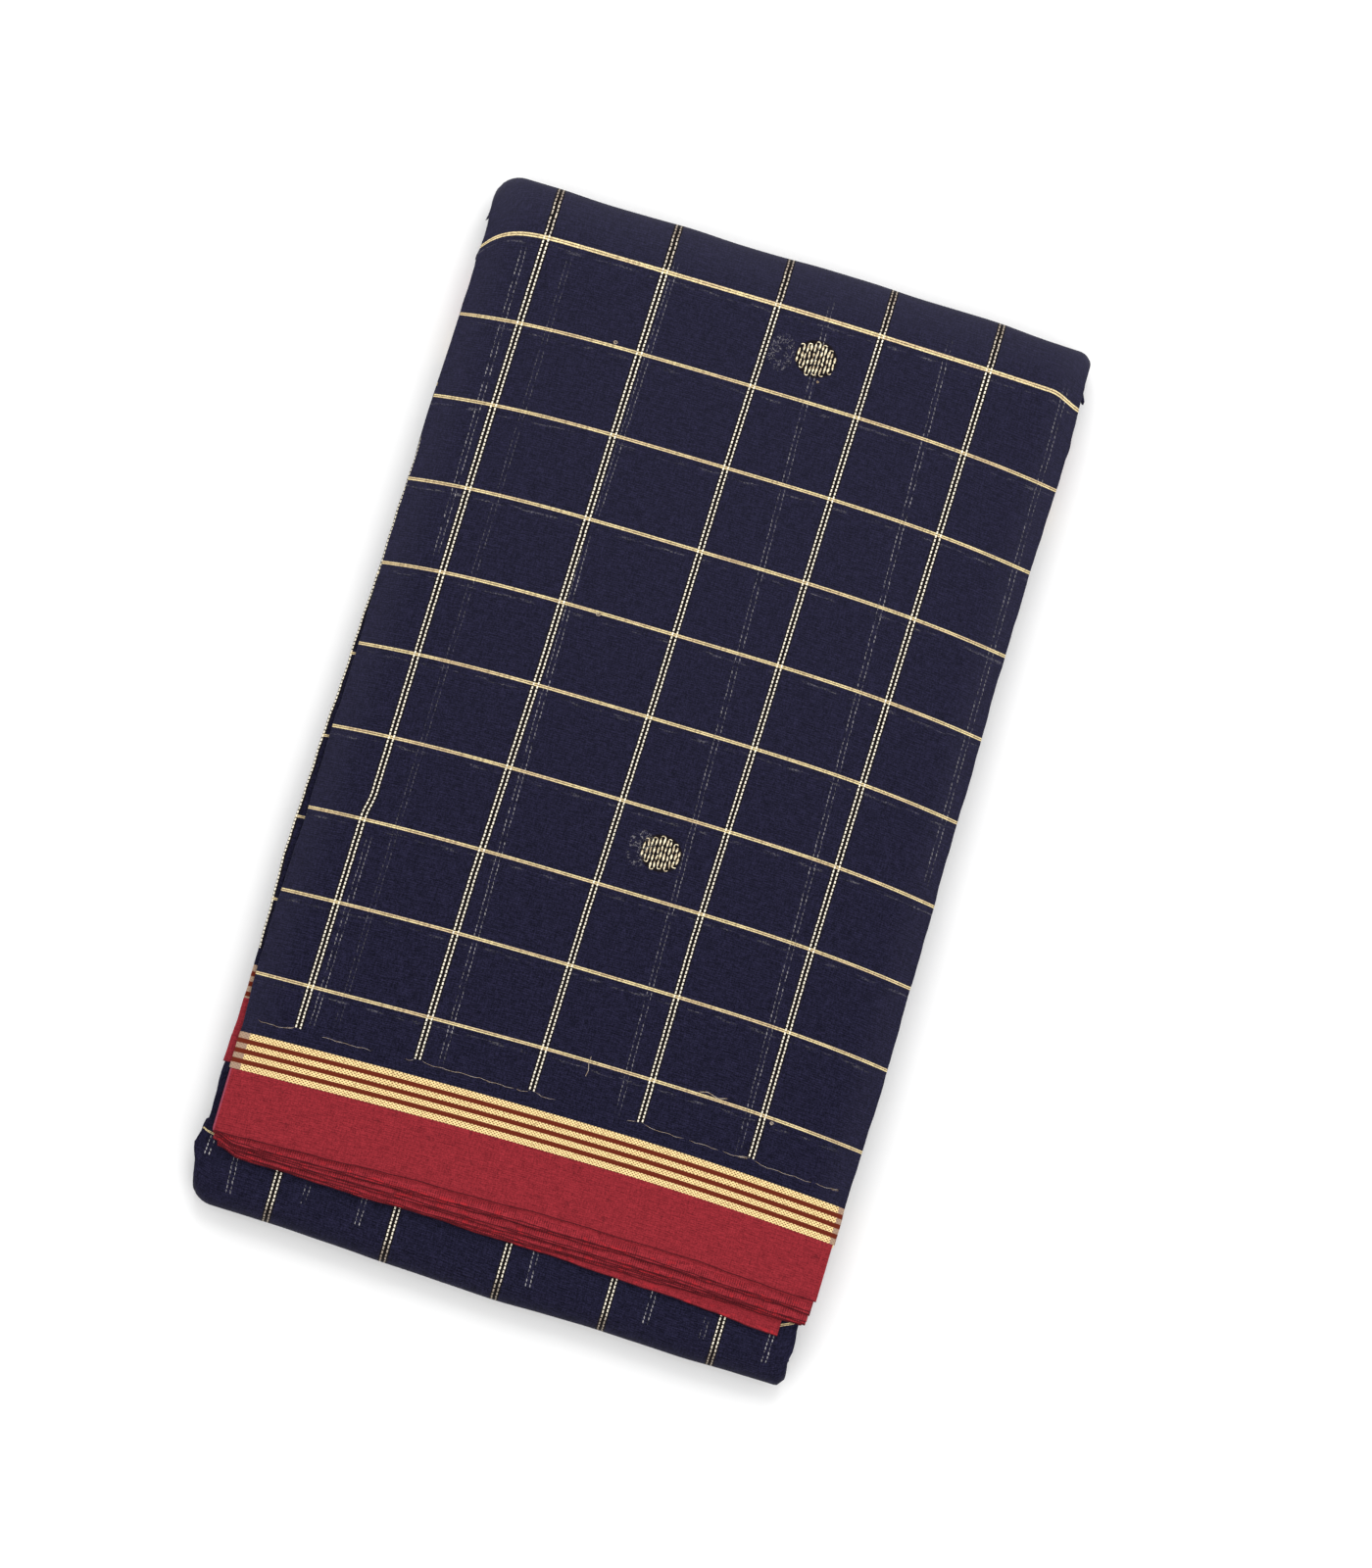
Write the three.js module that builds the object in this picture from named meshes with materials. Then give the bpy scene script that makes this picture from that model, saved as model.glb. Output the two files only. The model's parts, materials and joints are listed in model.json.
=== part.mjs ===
// A cotton saree, folded flat as it is sold: one length of navy cloth with a gold check and a red border along
// each selvedge. It is first lapped to and fro along its length, 24 thicknesses deep, and that long strip is then
// folded in three like a Z, so the pack has a top, a middle and a bottom panel, a thick fold at each end, and the
// two selvedges hidden or showing at opposite ends. All sizes are in millimetres. X runs across the pack, +Y
// towards the thick fold at its head, and +Z up from the surface it lies on, where the origin is.
import * as THREE from "three";

// The cloth and how it is folded.
const LAPS = 24;
const LAP = 0.275;
const BUNDLE = LAPS * LAP;
const WALL = 1.0;
const SEAM = 0.3;
const SLOT = 0.6;

// The pack's outline, on the outside of the outermost lap.
const HEAD = 192.9;
const FOOT = -191.7;
const HEAD_SKEW = -0.0155;
const FOOT_SKEW = -0.028;

// The woven bands beside each selvedge, measured up the cloth from the pack's foot.
const BAND_START = -123.5;
const BAND_END = -137.0;
const SELVEDGE = -159.4;

// Heights of the middle of each panel, and the axes of the two folds.
const HALF = BUNDLE / 2;
const OUTER = HALF + SEAM + WALL;
const TURN = HALF + SLOT / 2;
const BOTTOM_LEVEL = OUTER;
const MIDDLE_LEVEL = BOTTOM_LEVEL + BUNDLE + SLOT;
const TOP_LEVEL = MIDDLE_LEVEL + BUNDLE + SLOT;
const HEAD_AXIS = HEAD - TURN - OUTER;
const FOOT_AXIS = FOOT + TURN + OUTER;

// Where the hidden laps stop, beside the separate laps whose selvedges show, and where the outermost lap at the
// foot comes out from under the top panel.
const LAPS_END = BAND_END - 1.2;
const BEYOND_LAPS = LAPS_END - SEAM;
const FOOT_EMERGES = BEYOND_LAPS - 4.3;

// Places along the pack where every long piece has a row of points, closer where the head droops.
const ROWS = [-150, -105, -70, -35, 0, 35, 70, 105, 130, 150, 162, 169, 175];

// Insets from the side outline where every wide piece has a column of points, closer where the sides sag.
const INSETS = [3.4, 6, 10, 16, 24, 45, 78];
const FOLD_STEPS = 10;

// The side outlines of each panel, from the selvedge at the foot of the top panel (0), over the fold at the head
// (1) and the fold at the foot (2), to the selvedge at the head of the bottom panel (3).
const SIDES = [
  { at: 0, left: -113.6, right: 110.9 },
  { at: 1, left: -110.8, right: 111.2 },
  { at: 2, left: -115.8, right: 107.6 },
  { at: 3, left: -113.0, right: 109.5 },
];

// Groups of hidden laps in a panel, from its foot-facing side to its head-facing side, with the number of laps in
// each. Each stands back from the outline by its own amount, which drifts a little along the cloth.
const LAP_GROUPS = [
  { laps: 4, left: 0.9, right: 0.7, drift: 0.45, phase: 0.4 },
  { laps: 4, left: 1.6, right: 0.5, drift: 0.5, phase: 2.1 },
  { laps: 4, left: 0.6, right: 1.4, drift: 0.35, phase: 4.4 },
  { laps: 6, left: 0.8, right: 0.8, drift: 0.4, phase: 3.7 },
  { laps: 3, left: 1.5, right: 1.5, drift: 0.4, phase: 1.2 },
  { laps: 3, left: 0.7, right: 0.6, drift: 0.35, phase: 5.2 },
];
const NOSE = [
  [0.02, 0.9],
  [0.3, 0.12],
  [0.7, 0.12],
  [0.98, 0.9],
];

// A lap of the top panel that has slipped out to the left, in a recess between two groups of hidden laps.
const SLIPPED = { group: 3, recess: 9.5, width: 9.3, low: 0.32, high: 1.32, head: 150 };
const SLIPPED_BAND_START = -99.7;
const SLIPPED_BAND_END = -111.6;
const SLIPPED_SELVEDGE = -135.4;
const SLIPPED_EDGE = [
  { y: 150, left: -111.0 },
  { y: 103, left: -112.0 },
  { y: 33, left: -113.4 },
  { y: -37, left: -115.5 },
  { y: -100, left: -115.9 },
  { y: -136, left: -116.5 },
];

// The laps whose red selvedges step out from under the top one, at its left end, middle and right end.
const LAP_GAP = 0.36;
const LAP_WALL = 1.1;
const FOOT_LAPS = [
  { name: "red_border_top", left: -113.4, right: 110.8, ends: [-160.9, SELVEDGE, -158.7] },
  { name: "red_lap_2", left: -113.0, right: 110.4, ends: [-162.8, -163.9, -162.8] },
  { name: "red_lap_3", left: -112.2, right: 110.1, ends: [-164.4, -167.5, -166.7] },
  { name: "red_lap_4", left: -110.6, right: 109.0, ends: [-166.4, -170.3, -166.9] },
  { name: "red_lap_5", left: -104.0, right: 101.7, ends: [-167.0, -172.3, -175.0] },
];
const HEAD_LAPS = [
  { name: "red_border_under", left: -112.6, right: 109.2, ends: [158.2, 157.6, 157.2] },
  { name: "under_lap_2", left: -112.0, right: 108.8, ends: [159.6, 159.4, 159.0] },
  { name: "under_lap_3", left: -112.8, right: 108.2, ends: [160.2, 160.9, 160.2] },
  { name: "under_lap_4", left: -111.6, right: 109.0, ends: [161.6, 161.7, 162.2] },
  { name: "under_lap_5", left: -112.2, right: 108.4, ends: [162.0, 162.9, 163.2] },
];

// How the pile settles: its sides sag, its head droops past the end of the bottom panel, its corners round off,
// and the bands bow a little across the pack.
const SAG = { share: 0.1, start: 86, width: 26 };
const DROOP = { depth: 4.5, start: 163, end: 194 };
const LOFT = { share: 0.014, across: 47, along: 71 };
const CORNER = { left: 6.5, right: 3.8 };
const BOW = { middle: 20, left: 3.1, leftReach: 133, right: 3.2, rightReach: 91, start: 60, end: 110 };
const FOLD_REACH = 145;

const NAVY = material("#262538", 0.85, 0);
const RED = material("#912d35", 0.8, 0);
const GOLD = material("#d4af7d", 0.45, 0.35);

const saree = new THREE.Group();

function material(colour, roughness, metalness) {
  return new THREE.MeshStandardMaterial({ color: colour, roughness, metalness });
}

function smooth(from, to, value) {
  return THREE.MathUtils.smoothstep(value, from, to);
}

// Reads a value from rows ordered by one of their columns.
function lookUp(rows, key, value, column) {
  const rising = rows[0][key] < rows[rows.length - 1][key];
  const ordered = rising ? rows : [...rows].reverse();
  const first = ordered[0];
  const last = ordered[ordered.length - 1];
  if (value <= first[key]) return first[column];
  if (value >= last[key]) return last[column];
  const i = ordered.findIndex((row) => row[key] >= value);
  const a = ordered[i - 1];
  const b = ordered[i];
  return THREE.MathUtils.mapLinear(value, a[key], b[key], a[column], b[column]);
}

// How far the woven bands dip at a place across the pack.
function bow(x) {
  const fromMiddle = x - BOW.middle;
  return fromMiddle < 0 ? BOW.left * (fromMiddle / BOW.leftReach) ** 2 : BOW.right * (fromMiddle / BOW.rightReach) ** 2;
}

// How far a fold stands back near its two corners, where the side outline is at the given row of SIDES.
function cornerSetback(x, at) {
  const { left, right } = SIDES[at];
  const radius = x < 0 ? CORNER.left : CORNER.right;
  const inset = THREE.MathUtils.clamp(x < 0 ? x - left : right - x, 0, radius);
  return radius - Math.sqrt(radius * radius - (radius - inset) ** 2);
}

// Small waves in the outline of the two folds.
function foldWave(x) {
  return 0.45 * Math.sin(x / 24 + 1) + 0.25 * Math.sin(x / 9.5);
}

// Moves a point of the straight, square pack to where the settled cloth has it.
function settle(x, y, z, panel) {
  const headward = smooth(FOLD_REACH, HEAD_AXIS, y);
  const footward = smooth(FOLD_REACH, -FOOT_AXIS, -y);
  let moved = y + HEAD_SKEW * x * headward;
  let height = z;
  if (panel !== "bottom") {
    moved += (foldWave(x) - cornerSetback(x, 1)) * headward;
    height -= DROOP.depth * smooth(DROOP.start, DROOP.end, y);
  }
  if (panel !== "top") {
    moved += (foldWave(x + 40) + cornerSetback(x, 2) + FOOT_SKEW * x) * footward;
  } else {
    moved -= bow(x) * smooth(BOW.start, BOW.end, -y);
  }
  const sag = SAG.share * smooth(SAG.start, SAG.start + SAG.width, Math.abs(x));
  const loft = LOFT.share * Math.sin(x / LOFT.across + 0.6) * Math.cos(y / LOFT.along);
  return new THREE.Vector3(x, moved, height * (1 - sag + loft));
}

// One station of the folded strip: a place on its middle line, the way its outer face looks, and how far it is
// from selvedge to selvedge, as SIDES counts it.
function station(panel, y, z, normalY, normalZ, at) {
  return { panel, y, z, normalY, normalZ, at };
}

// The rows of points from one place along the pack to another.
function rowsBetween(from, to) {
  return [from, ...ROWS.filter((y) => y > from + 1.5 && y < to - 1.5), to];
}

function topPanel(from, to) {
  const at = (y) => THREE.MathUtils.mapLinear(y, LAPS_END, HEAD_AXIS, 0, 1);
  return rowsBetween(from, to).map((y) => station("top", y, TOP_LEVEL, 0, 1, at(y)));
}

function middlePanel(from, to) {
  const at = (y) => THREE.MathUtils.mapLinear(y, HEAD_AXIS, FOOT_AXIS, 1, 2);
  return rowsBetween(to, from)
    .reverse()
    .map((y) => station("middle", y, MIDDLE_LEVEL, 0, -1, at(y)));
}

function bottomPanel(from, to) {
  const at = (y) => THREE.MathUtils.mapLinear(y, FOOT_AXIS, -LAPS_END, 2, 3);
  return rowsBetween(from, to).map((y) => station("bottom", y, BOTTOM_LEVEL, 0, 1, at(y)));
}

// Evenly spaced values, both ends included.
function evenly(from, to, count) {
  return Array.from({ length: count + 1 }, (_, i) => THREE.MathUtils.lerp(from, to, i / count));
}

// The thick fold at the head, where the outer face of the top panel turns down and under.
function headFold() {
  const height = (TOP_LEVEL + MIDDLE_LEVEL) / 2;
  return evenly(Math.PI / 2, -Math.PI / 2, FOLD_STEPS)
    .slice(1, -1)
    .map((a) =>
      station("middle", HEAD_AXIS + TURN * Math.cos(a), height + TURN * Math.sin(a), Math.cos(a), Math.sin(a), 1),
    );
}

// The thick fold at the foot, where the face that was hidden turns outward.
function footFold() {
  const height = (MIDDLE_LEVEL + BOTTOM_LEVEL) / 2;
  return evenly(Math.PI / 2, -Math.PI / 2, FOLD_STEPS)
    .slice(1, -1)
    .map((a) =>
      station("middle", FOOT_AXIS - TURN * Math.cos(a), height + TURN * Math.sin(a), Math.cos(a), -Math.sin(a), 2),
    );
}

// Triangles that close a ring: a strip between its bottom and top points, and the side at each end of it, which
// takes in as many columns as the ring says.
function capOf({ bottom, right, top, left, sideColumns = 1 }) {
  const ring = [...bottom, ...right, ...top, ...left];
  const topStart = bottom.length + right.length;
  const leftStart = topStart + top.length;
  const faces = [];
  for (let i = sideColumns - 1; i < bottom.length - sideColumns; i++) {
    const above = leftStart - 1 - i;
    faces.push([i, i + 1, above - 1], [i, above - 1, above]);
  }
  const indices = ring.map((_, i) => i);
  const rightSide = indices.slice(bottom.length - sideColumns, topStart + sideColumns);
  const leftSide = [...indices.slice(leftStart - sideColumns), ...indices.slice(0, sideColumns)];
  for (const side of [rightSide, leftSide]) {
    if (side.length < 3) continue;
    const flat = side.map((i) => new THREE.Vector2(...ring[i]));
    for (const corners of THREE.ShapeUtils.triangulateShape(flat, [])) faces.push(corners.map((i) => side[i]));
  }
  return faces;
}

// Sweeps a ring of [x, offset from the middle line] points along stations, and closes both ends.
function sweep(stations, ringAt) {
  const rings = stations.map((s) => ringAt(s));
  const points = [];
  stations.forEach((s, j) => {
    const { bottom, right, top, left } = rings[j];
    for (const [x, offset] of [...bottom, ...right, ...top, ...left]) {
      const y = typeof s.y === "function" ? s.y(x) : s.y;
      points.push(settle(x, y + offset * s.normalY, s.z + offset * s.normalZ, s.panel));
    }
  });
  const size = points.length / stations.length;
  const faces = [];
  for (let j = 0; j + 1 < stations.length; j++) {
    for (let i = 0; i < size; i++) {
      const a = j * size + i;
      const b = j * size + ((i + 1) % size);
      faces.push(a, a + size, b + size, a, b + size, b);
    }
  }
  for (const [a, b, c] of capOf(rings[0])) faces.push(a, b, c);
  const last = points.length - size;
  for (const [a, b, c] of capOf(rings[rings.length - 1])) faces.push(last + a, last + c, last + b);
  const geometry = new THREE.BufferGeometry().setFromPoints(points);
  geometry.setIndex(faces);
  geometry.computeVertexNormals();
  return geometry;
}

// The columns shared by everything between two side outlines, from left to right.
function columns({ left, right }) {
  const middle = (left + right) / 2;
  return [...INSETS.map((inset) => left + inset), middle, ...[...INSETS].reverse().map((inset) => right - inset)];
}

function outline(at) {
  return { left: lookUp(SIDES, "at", at, "left"), right: lookUp(SIDES, "at", at, "right") };
}

// The ring of one wall of cloth with rounded side folds, from offset low to offset high.
function wallRing(left, right, low, high, within) {
  const nose = (high - low) / 2;
  const shared = columns(within).filter((x) => x > left + 2.4 && x < right - 2.4);
  const xs = [left + nose, left + 1.6, ...shared, right - 1.6, right - nose];
  return {
    bottom: xs.map((x) => [x, low]),
    right: [[right, low + nose]],
    top: [...xs].reverse().map((x) => [x, high]),
    left: [[left, low + nose]],
  };
}

// The ring of the hidden laps: flat above and below, with a rounded ridge down each side for each group.
function hiddenRing(s) {
  const sides = outline(s.at);
  const right = [];
  const left = [];
  let low = -HALF;
  LAP_GROUPS.forEach((group, k) => {
    const thickness = group.laps * LAP;
    const drift = (side) => group.drift * Math.sin(group.phase + side + 5.3 * s.at);
    const outRight = sides.right - group.right - drift(0);
    let outLeft = sides.left + group.left + drift(1.7);
    if (s.panel === "top" && k === SLIPPED.group) outLeft += SLIPPED.recess * smooth(-168, -152, -s.y);
    for (const [rise, depth] of NOSE) {
      right.push([outRight - depth, low + rise * thickness]);
      left.push([outLeft + depth, low + rise * thickness]);
    }
    low += thickness;
  });
  const xs = columns(sides);
  return {
    bottom: xs.map((x) => [x, -HALF]),
    right,
    top: [...xs].reverse().map((x) => [x, HALF]),
    left: left.reverse(),
    sideColumns: INSETS.findIndex((inset) => inset > SLIPPED.recess + 4) + 1,
  };
}

function piece(name, geometry, cloth) {
  const mesh = new THREE.Mesh(geometry, cloth);
  mesh.name = name;
  saree.add(mesh);
}

// A wall on one face of the folded strip, between its two side outlines: 1 is its outer face, -1 its other one.
function outerWall(name, stations, cloth, face) {
  const [low, high] = [face * (HALF + SEAM), face * OUTER].sort((a, b) => a - b);
  const ringAt = (s) => wallRing(outline(s.at).left, outline(s.at).right, low, high, outline(s.at));
  piece(name, sweep(stations, ringAt), cloth);
}

// The place along the pack of a selvedge that is known at its left end, middle and right end.
function selvedgeAt([left, middle, right], x) {
  const share = x / 112;
  return middle + ((right - left) / 2) * share + ((right + left) / 2 - middle) * share * share;
}

// The separate laps that end in a selvedge, one under another, from the outermost one inwards.
function selvedgeLaps(laps, panel, outerFace, inward) {
  const isTop = panel === "top";
  const sign = isTop ? 1 : -1;
  laps.forEach((lap, k) => {
    const start = sign * (k === 0 ? BAND_END - SEAM : BEYOND_LAPS);
    const rows = evenly(0, 1, 3).map((share) => ({
      panel,
      z: 0,
      normalY: 0,
      normalZ: 1,
      y: (x) => THREE.MathUtils.lerp(start, selvedgeAt(lap.ends, x), share),
    }));
    const near = outerFace + inward * k * (LAP_WALL + LAP_GAP);
    const far = near + inward * LAP_WALL;
    const within = isTop ? SIDES[0] : SIDES[3];
    const ringAt = () => wallRing(lap.left, lap.right, Math.min(near, far), Math.max(near, far), within);
    piece(lap.name, sweep(isTop ? rows.reverse() : rows, ringAt), RED);
  });
}

function hiddenLaps() {
  const stations = [
    ...topPanel(LAPS_END, HEAD_AXIS),
    ...headFold(),
    ...middlePanel(HEAD_AXIS, FOOT_AXIS),
    ...footFold(),
    ...bottomPanel(FOOT_AXIS, -LAPS_END),
  ];
  piece("hidden_laps", sweep(stations, hiddenRing), NAVY);
}

function topCloth() {
  const field = [
    ...topPanel(BAND_START + SEAM, HEAD_AXIS),
    ...headFold(),
    ...middlePanel(HEAD_AXIS, -BEYOND_LAPS),
  ];
  outerWall("field_top", field, NAVY, 1);
  outerWall("zari_band_top", topPanel(BAND_END, BAND_START), GOLD, 1);
}

function bottomCloth() {
  const field = [
    ...middlePanel(FOOT_EMERGES, FOOT_AXIS),
    ...footFold(),
    ...bottomPanel(FOOT_AXIS, -BAND_START - SEAM),
  ];
  outerWall("field_under", field, NAVY, -1);
  outerWall("zari_band_under", bottomPanel(-BAND_START, -BAND_END), GOLD, -1);
}

function slippedLap() {
  const { low, high } = SLIPPED;
  const ringAt = (s) => {
    const left = lookUp(SLIPPED_EDGE, "y", s.y, "left");
    const right = outline(s.at).left + SLIPPED.width;
    const nose = (high - low) / 2;
    const xs = [left + nose, (left + right) / 2, right];
    return {
      bottom: xs.map((x) => [x, low]),
      right: [],
      top: [...xs].reverse().map((x) => [x, high]),
      left: [[left, low + nose]],
    };
  };
  const strip = (name, from, to, cloth) => piece(name, sweep(topPanel(from, to), ringAt), cloth);
  strip("slipped_lap_field", SLIPPED_BAND_START + SEAM, SLIPPED.head, NAVY);
  strip("slipped_lap_zari", SLIPPED_BAND_END, SLIPPED_BAND_START, GOLD);
  strip("slipped_lap_red", SLIPPED_SELVEDGE, SLIPPED_BAND_END - SEAM, RED);
}

hiddenLaps();
topCloth();
slippedLap();
bottomCloth();
selvedgeLaps(FOOT_LAPS, "top", TOP_LEVEL + OUTER, -1);
selvedgeLaps(HEAD_LAPS, "bottom", 0, 1);

// The origin is below the middle of the pack's box.
const box = new THREE.Box3().setFromObject(saree);
const middle = box.getCenter(new THREE.Vector3());
saree.position.set(-middle.x, -middle.y, -box.min.z);

export default saree;
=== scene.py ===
"""Looks for a folded cotton saree: navy cloth with a gold thread check, a gold band and a red border.

The cloth is lapped along its length, 24 thicknesses deep, and the strip is folded in three like a Z. Every
visible stretch is a thin shell that follows the same settled strip as the solids. Lengths in the tables are
millimetres in the pack's own plane, x across it and y along it towards the thick fold at its head.
"""

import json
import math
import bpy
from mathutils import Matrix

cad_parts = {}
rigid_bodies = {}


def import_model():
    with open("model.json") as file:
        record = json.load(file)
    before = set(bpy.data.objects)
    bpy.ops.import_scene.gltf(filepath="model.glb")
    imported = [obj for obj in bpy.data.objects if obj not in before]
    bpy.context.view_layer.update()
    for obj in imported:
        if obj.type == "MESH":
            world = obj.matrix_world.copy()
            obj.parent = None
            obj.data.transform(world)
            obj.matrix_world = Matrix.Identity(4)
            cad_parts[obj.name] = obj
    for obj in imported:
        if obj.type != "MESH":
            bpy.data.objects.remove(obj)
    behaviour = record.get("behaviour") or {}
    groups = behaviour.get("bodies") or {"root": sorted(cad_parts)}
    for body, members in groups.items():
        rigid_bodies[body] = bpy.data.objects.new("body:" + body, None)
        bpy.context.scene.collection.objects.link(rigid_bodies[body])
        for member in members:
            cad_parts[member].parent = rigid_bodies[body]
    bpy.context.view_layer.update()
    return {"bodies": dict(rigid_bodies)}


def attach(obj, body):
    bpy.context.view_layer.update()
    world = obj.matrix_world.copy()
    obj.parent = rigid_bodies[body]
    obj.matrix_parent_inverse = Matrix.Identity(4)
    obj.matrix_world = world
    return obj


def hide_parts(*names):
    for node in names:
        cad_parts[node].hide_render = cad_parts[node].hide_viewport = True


bl_info = {
    "name": "Folded saree",
    "version": (1, 0, 0),
    "blender": (4, 5, 0),
    "location": "View3D > Sidebar > Saree",
    "description": "Builds the cloth, thread work and stage of a folded saree",
    "category": "Object",
}

import bpy
import numpy as np

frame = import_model()

MM = 0.001
ORIGIN_SHIFT = (2.645, -0.3418, 0.0)
FULL_TURN = 6.2832
FAR = 99.0
ENDLESS = 1e9


def table(names, *rows):
    """A table's rows as dictionaries, with the same names in each."""
    return tuple(dict(zip(names.split(), row)) for row in rows)


TOP, MIDDLE, BOTTOM = 0, 1, 2

# The folded strip, as the solids have it.
LAPS = 24
LAP = 0.275
BUNDLE = LAPS * LAP
WALL = 1.0
SEAM = 0.3
SLOT = 0.6
HEAD = 192.9
FOOT = -191.7
HEAD_SKEW = -0.0155
FOOT_SKEW = -0.028
BAND_START = -123.5
BAND_END = -137.0
HALF = BUNDLE / 2
OUTER = HALF + SEAM + WALL
TURN = HALF + SLOT / 2
BOTTOM_LEVEL = OUTER
MIDDLE_LEVEL = BOTTOM_LEVEL + BUNDLE + SLOT
TOP_LEVEL = MIDDLE_LEVEL + BUNDLE + SLOT
HEAD_AXIS = HEAD - TURN - OUTER
FOOT_AXIS = FOOT + TURN + OUTER
LAPS_END = BAND_END - 1.2
BEYOND_LAPS = LAPS_END - SEAM
FOOT_EMERGES = BEYOND_LAPS - 4.3
HALF_WIDTH = 112.0

# Where the two sides lie at the top panel's border, the head fold, the foot fold and the bottom panel's border.
SIDES = {"at": (0, 1, 2, 3), "left": (-113.6, -110.8, -115.8, -113.0), "right": (110.9, 111.2, 107.6, 109.5)}

# How the settled cloth sags at its sides, droops over the head fold, swells in low waves and rounds its corners,
# and how its thick folds wave and bulge.
SAG = {"share": 0.1, "start": 86.0, "width": 26.0}
DROOP = {"depth": 4.5, "start": 163.0, "end": 194.0}
LOFT = {"share": 0.014, "across": 47.0, "along": 71.0, "phase": 0.6}
CORNER = {"head": (9.5, 5.6), "foot": (9.5, 2.6)}
CORNER_MARGIN = 0.3
FOLD_WAVES = ((0.45, 24.0, 1.0), (0.25, 9.5, 0.0))
FOOT_WAVE_SHIFT = 40.0
NOSE_START = 26.0
NOSES = {
    "head": {"all": 0.8, "more": 0.8, "at": 66.0, "reach": 28.0},
    "foot": {"all": 0.6, "more": 2.0, "at": -20.0, "reach": 38.0},
}

# How much further out than straight the two sides lie, at heights along the top panel and along the others.
TOP_SIDES = {
    "left_y": (-122, -112, -100, -80, -40, 0, 40, 72, 88, 104, 120, 136, 152, 163, 174.5, 183, 188),
    "left": (0, 0.6, 1.0, 0.8, 0.2, 0, 0, 0.3, -0.3, 0, -0.3, -0.2, -0.8, -0.5, -1.0, 0, 0.5),
    "right_y": (-125, -104, -72, -56, -40, -8, 24, 56, 104, 136, 184),
    "right": (0.9, 1.0, 1.4, 1.3, 1.0, 0.6, 0.3, 0, -0.3, 0.6, 0.2),
}
FOOT_LEFT_Y = (-187, -184.5, -182.5, -179, -174, -166, -152, -140, -100)
FOOT_LEFT = (-1.0, 1.5, 3.0, 2.0, 1.1, 0.4, 0.3, 0.8, 0)
FOOT_RIGHT = {
    "right_y": (-190.5, -188.2, -186.2, -184.2, -181.4, -177.6, -174, -170, -160, -120),
    "right": (0.4, 1.0, 0.9, 0.3, 1.0, 0.7, 0.2, 0.1, 0, 0),
}
MIDDLE_SIDES = {
    "left_y": (*FOOT_LEFT_Y, 60, 88, 104, 120, 136, 152, 163, 174.5, 183, 188),
    "left": (*FOOT_LEFT, 0, 0.1, 0.5, 0.1, 0.1, -0.4, -0.6, -1.3, -0.2, 0.5),
    **FOOT_RIGHT,
}
BOTTOM_SIDES = {
    "left_y": (*FOOT_LEFT_Y, 0, 60, 88, 120, 152, 165),
    "left": (*FOOT_LEFT, -0.6, -1.6, -2.7, -3.1, -3.8, -3.9),
    **FOOT_RIGHT,
}

# How far the top panel's border bows towards the foot, on each side of its middle, and where that sets in.
BOW = {
    "middle": 20.0,
    "left": 3.1,
    "left_reach": 133.0,
    "right": 3.2,
    "right_reach": 91.0,
    "start": 60.0,
    "end": 110.0,
}

# How far from the middle the thick folds begin to draw the cloth along, and the thickness of the red laps.
FOLD_REACH = 145.0
LAP_WALL = 1.1
LAP_GAP = 0.36

WARP_SPACING = 30.9
WARP_LINES = table(
    "middle left left_power right right_power",
    (176.5, 13.0, 16.0, 2.1, 1.5),
    (145.9, 4.6, 4.0, 5.1, 3.0),
    (115.3, 4.6, 4.0, 5.5, 3.0),
    (84.1, 4.3, 4.0, 5.4, 3.0),
    (52.9, 4.5, 4.0, 5.1, 3.0),
    (22.1, 3.7, 3.5, 5.3, 3.1),
    (-9.0, 3.5, 3.5, 5.2, 3.3),
    (-40.0, 2.9, 3.2, 4.6, 3.2),
    (-70.8, 2.9, 2.4, 4.2, 3.6),
    (-101.8, 3.1, 1.3, 3.9, 3.2),
)

# How the warp line nearest the head curls down at the right.
HEAD_CURL = {"drop": 4.1, "start": 100.0, "end": 113.5}

WEFT_SPACING = 41.3
WEAVE_ROW = 0.78
WEFT_HEIGHTS = (-114.0, -50.0, -39.0, -33.0, 30.0, 110.0, 184.0)
WEFT_LINES = table(
    "number across",
    (-2, (-94.0, -93.1, -92.9, -91.6, -90.9, -89.8, -88.4)),
    (-1, (-49.9, -49.3, -48.9, -48.7, -46.9, -45.8, -44.3)),
    (0, (-7.6, -6.8, -6.5, -6.3, -4.8, -3.9, -2.2)),
    (1, (32.7, 32.6, 32.8, 32.9, 34.2, 35.2, 36.4)),
    (2, (74.4, 74.1, 74.2, 74.3, 74.9, 75.8, 76.6)),
)
FOOT_WEFT_LINES = (-86.1, -41.8, 0.2, 39.9, 80.9)
FOOT_WARP_LINE = {
    "left": -166.7,
    "right": -171.7,
    "from": -114.0,
    "to": 101.0,
    "lift": 0.45,
    "level": 0.42,
    "deepen": 0.036,
}
WEFT_END = 5.9

# Faint lines of the laps that show through, at the foot and on the top panel: place across at the foot-ward
# and head-ward ends, and those ends.
FOOT_FAINT_LINES = table(
    "Foot_X Head_X From To Strength",
    (-112.9, -112.2, -173.0, -164.8, 1.4),
    (-101.6, -102.5, -184.5, -169.0, 1.2),
    (-74.7, -74.7, -180.0, -171.0, 0.7),
    (-54.1, -54.0, -182.0, -169.0, 1.1),
    (10.7, 10.2, -186.0, -172.0, 1.0),
    (54.7, 55.0, -187.0, -172.0, 1.2),
    (75.6, 75.6, -186.0, -178.0, 0.5),
    (99.4, 99.6, -188.0, -174.0, 1.2),
)

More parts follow.
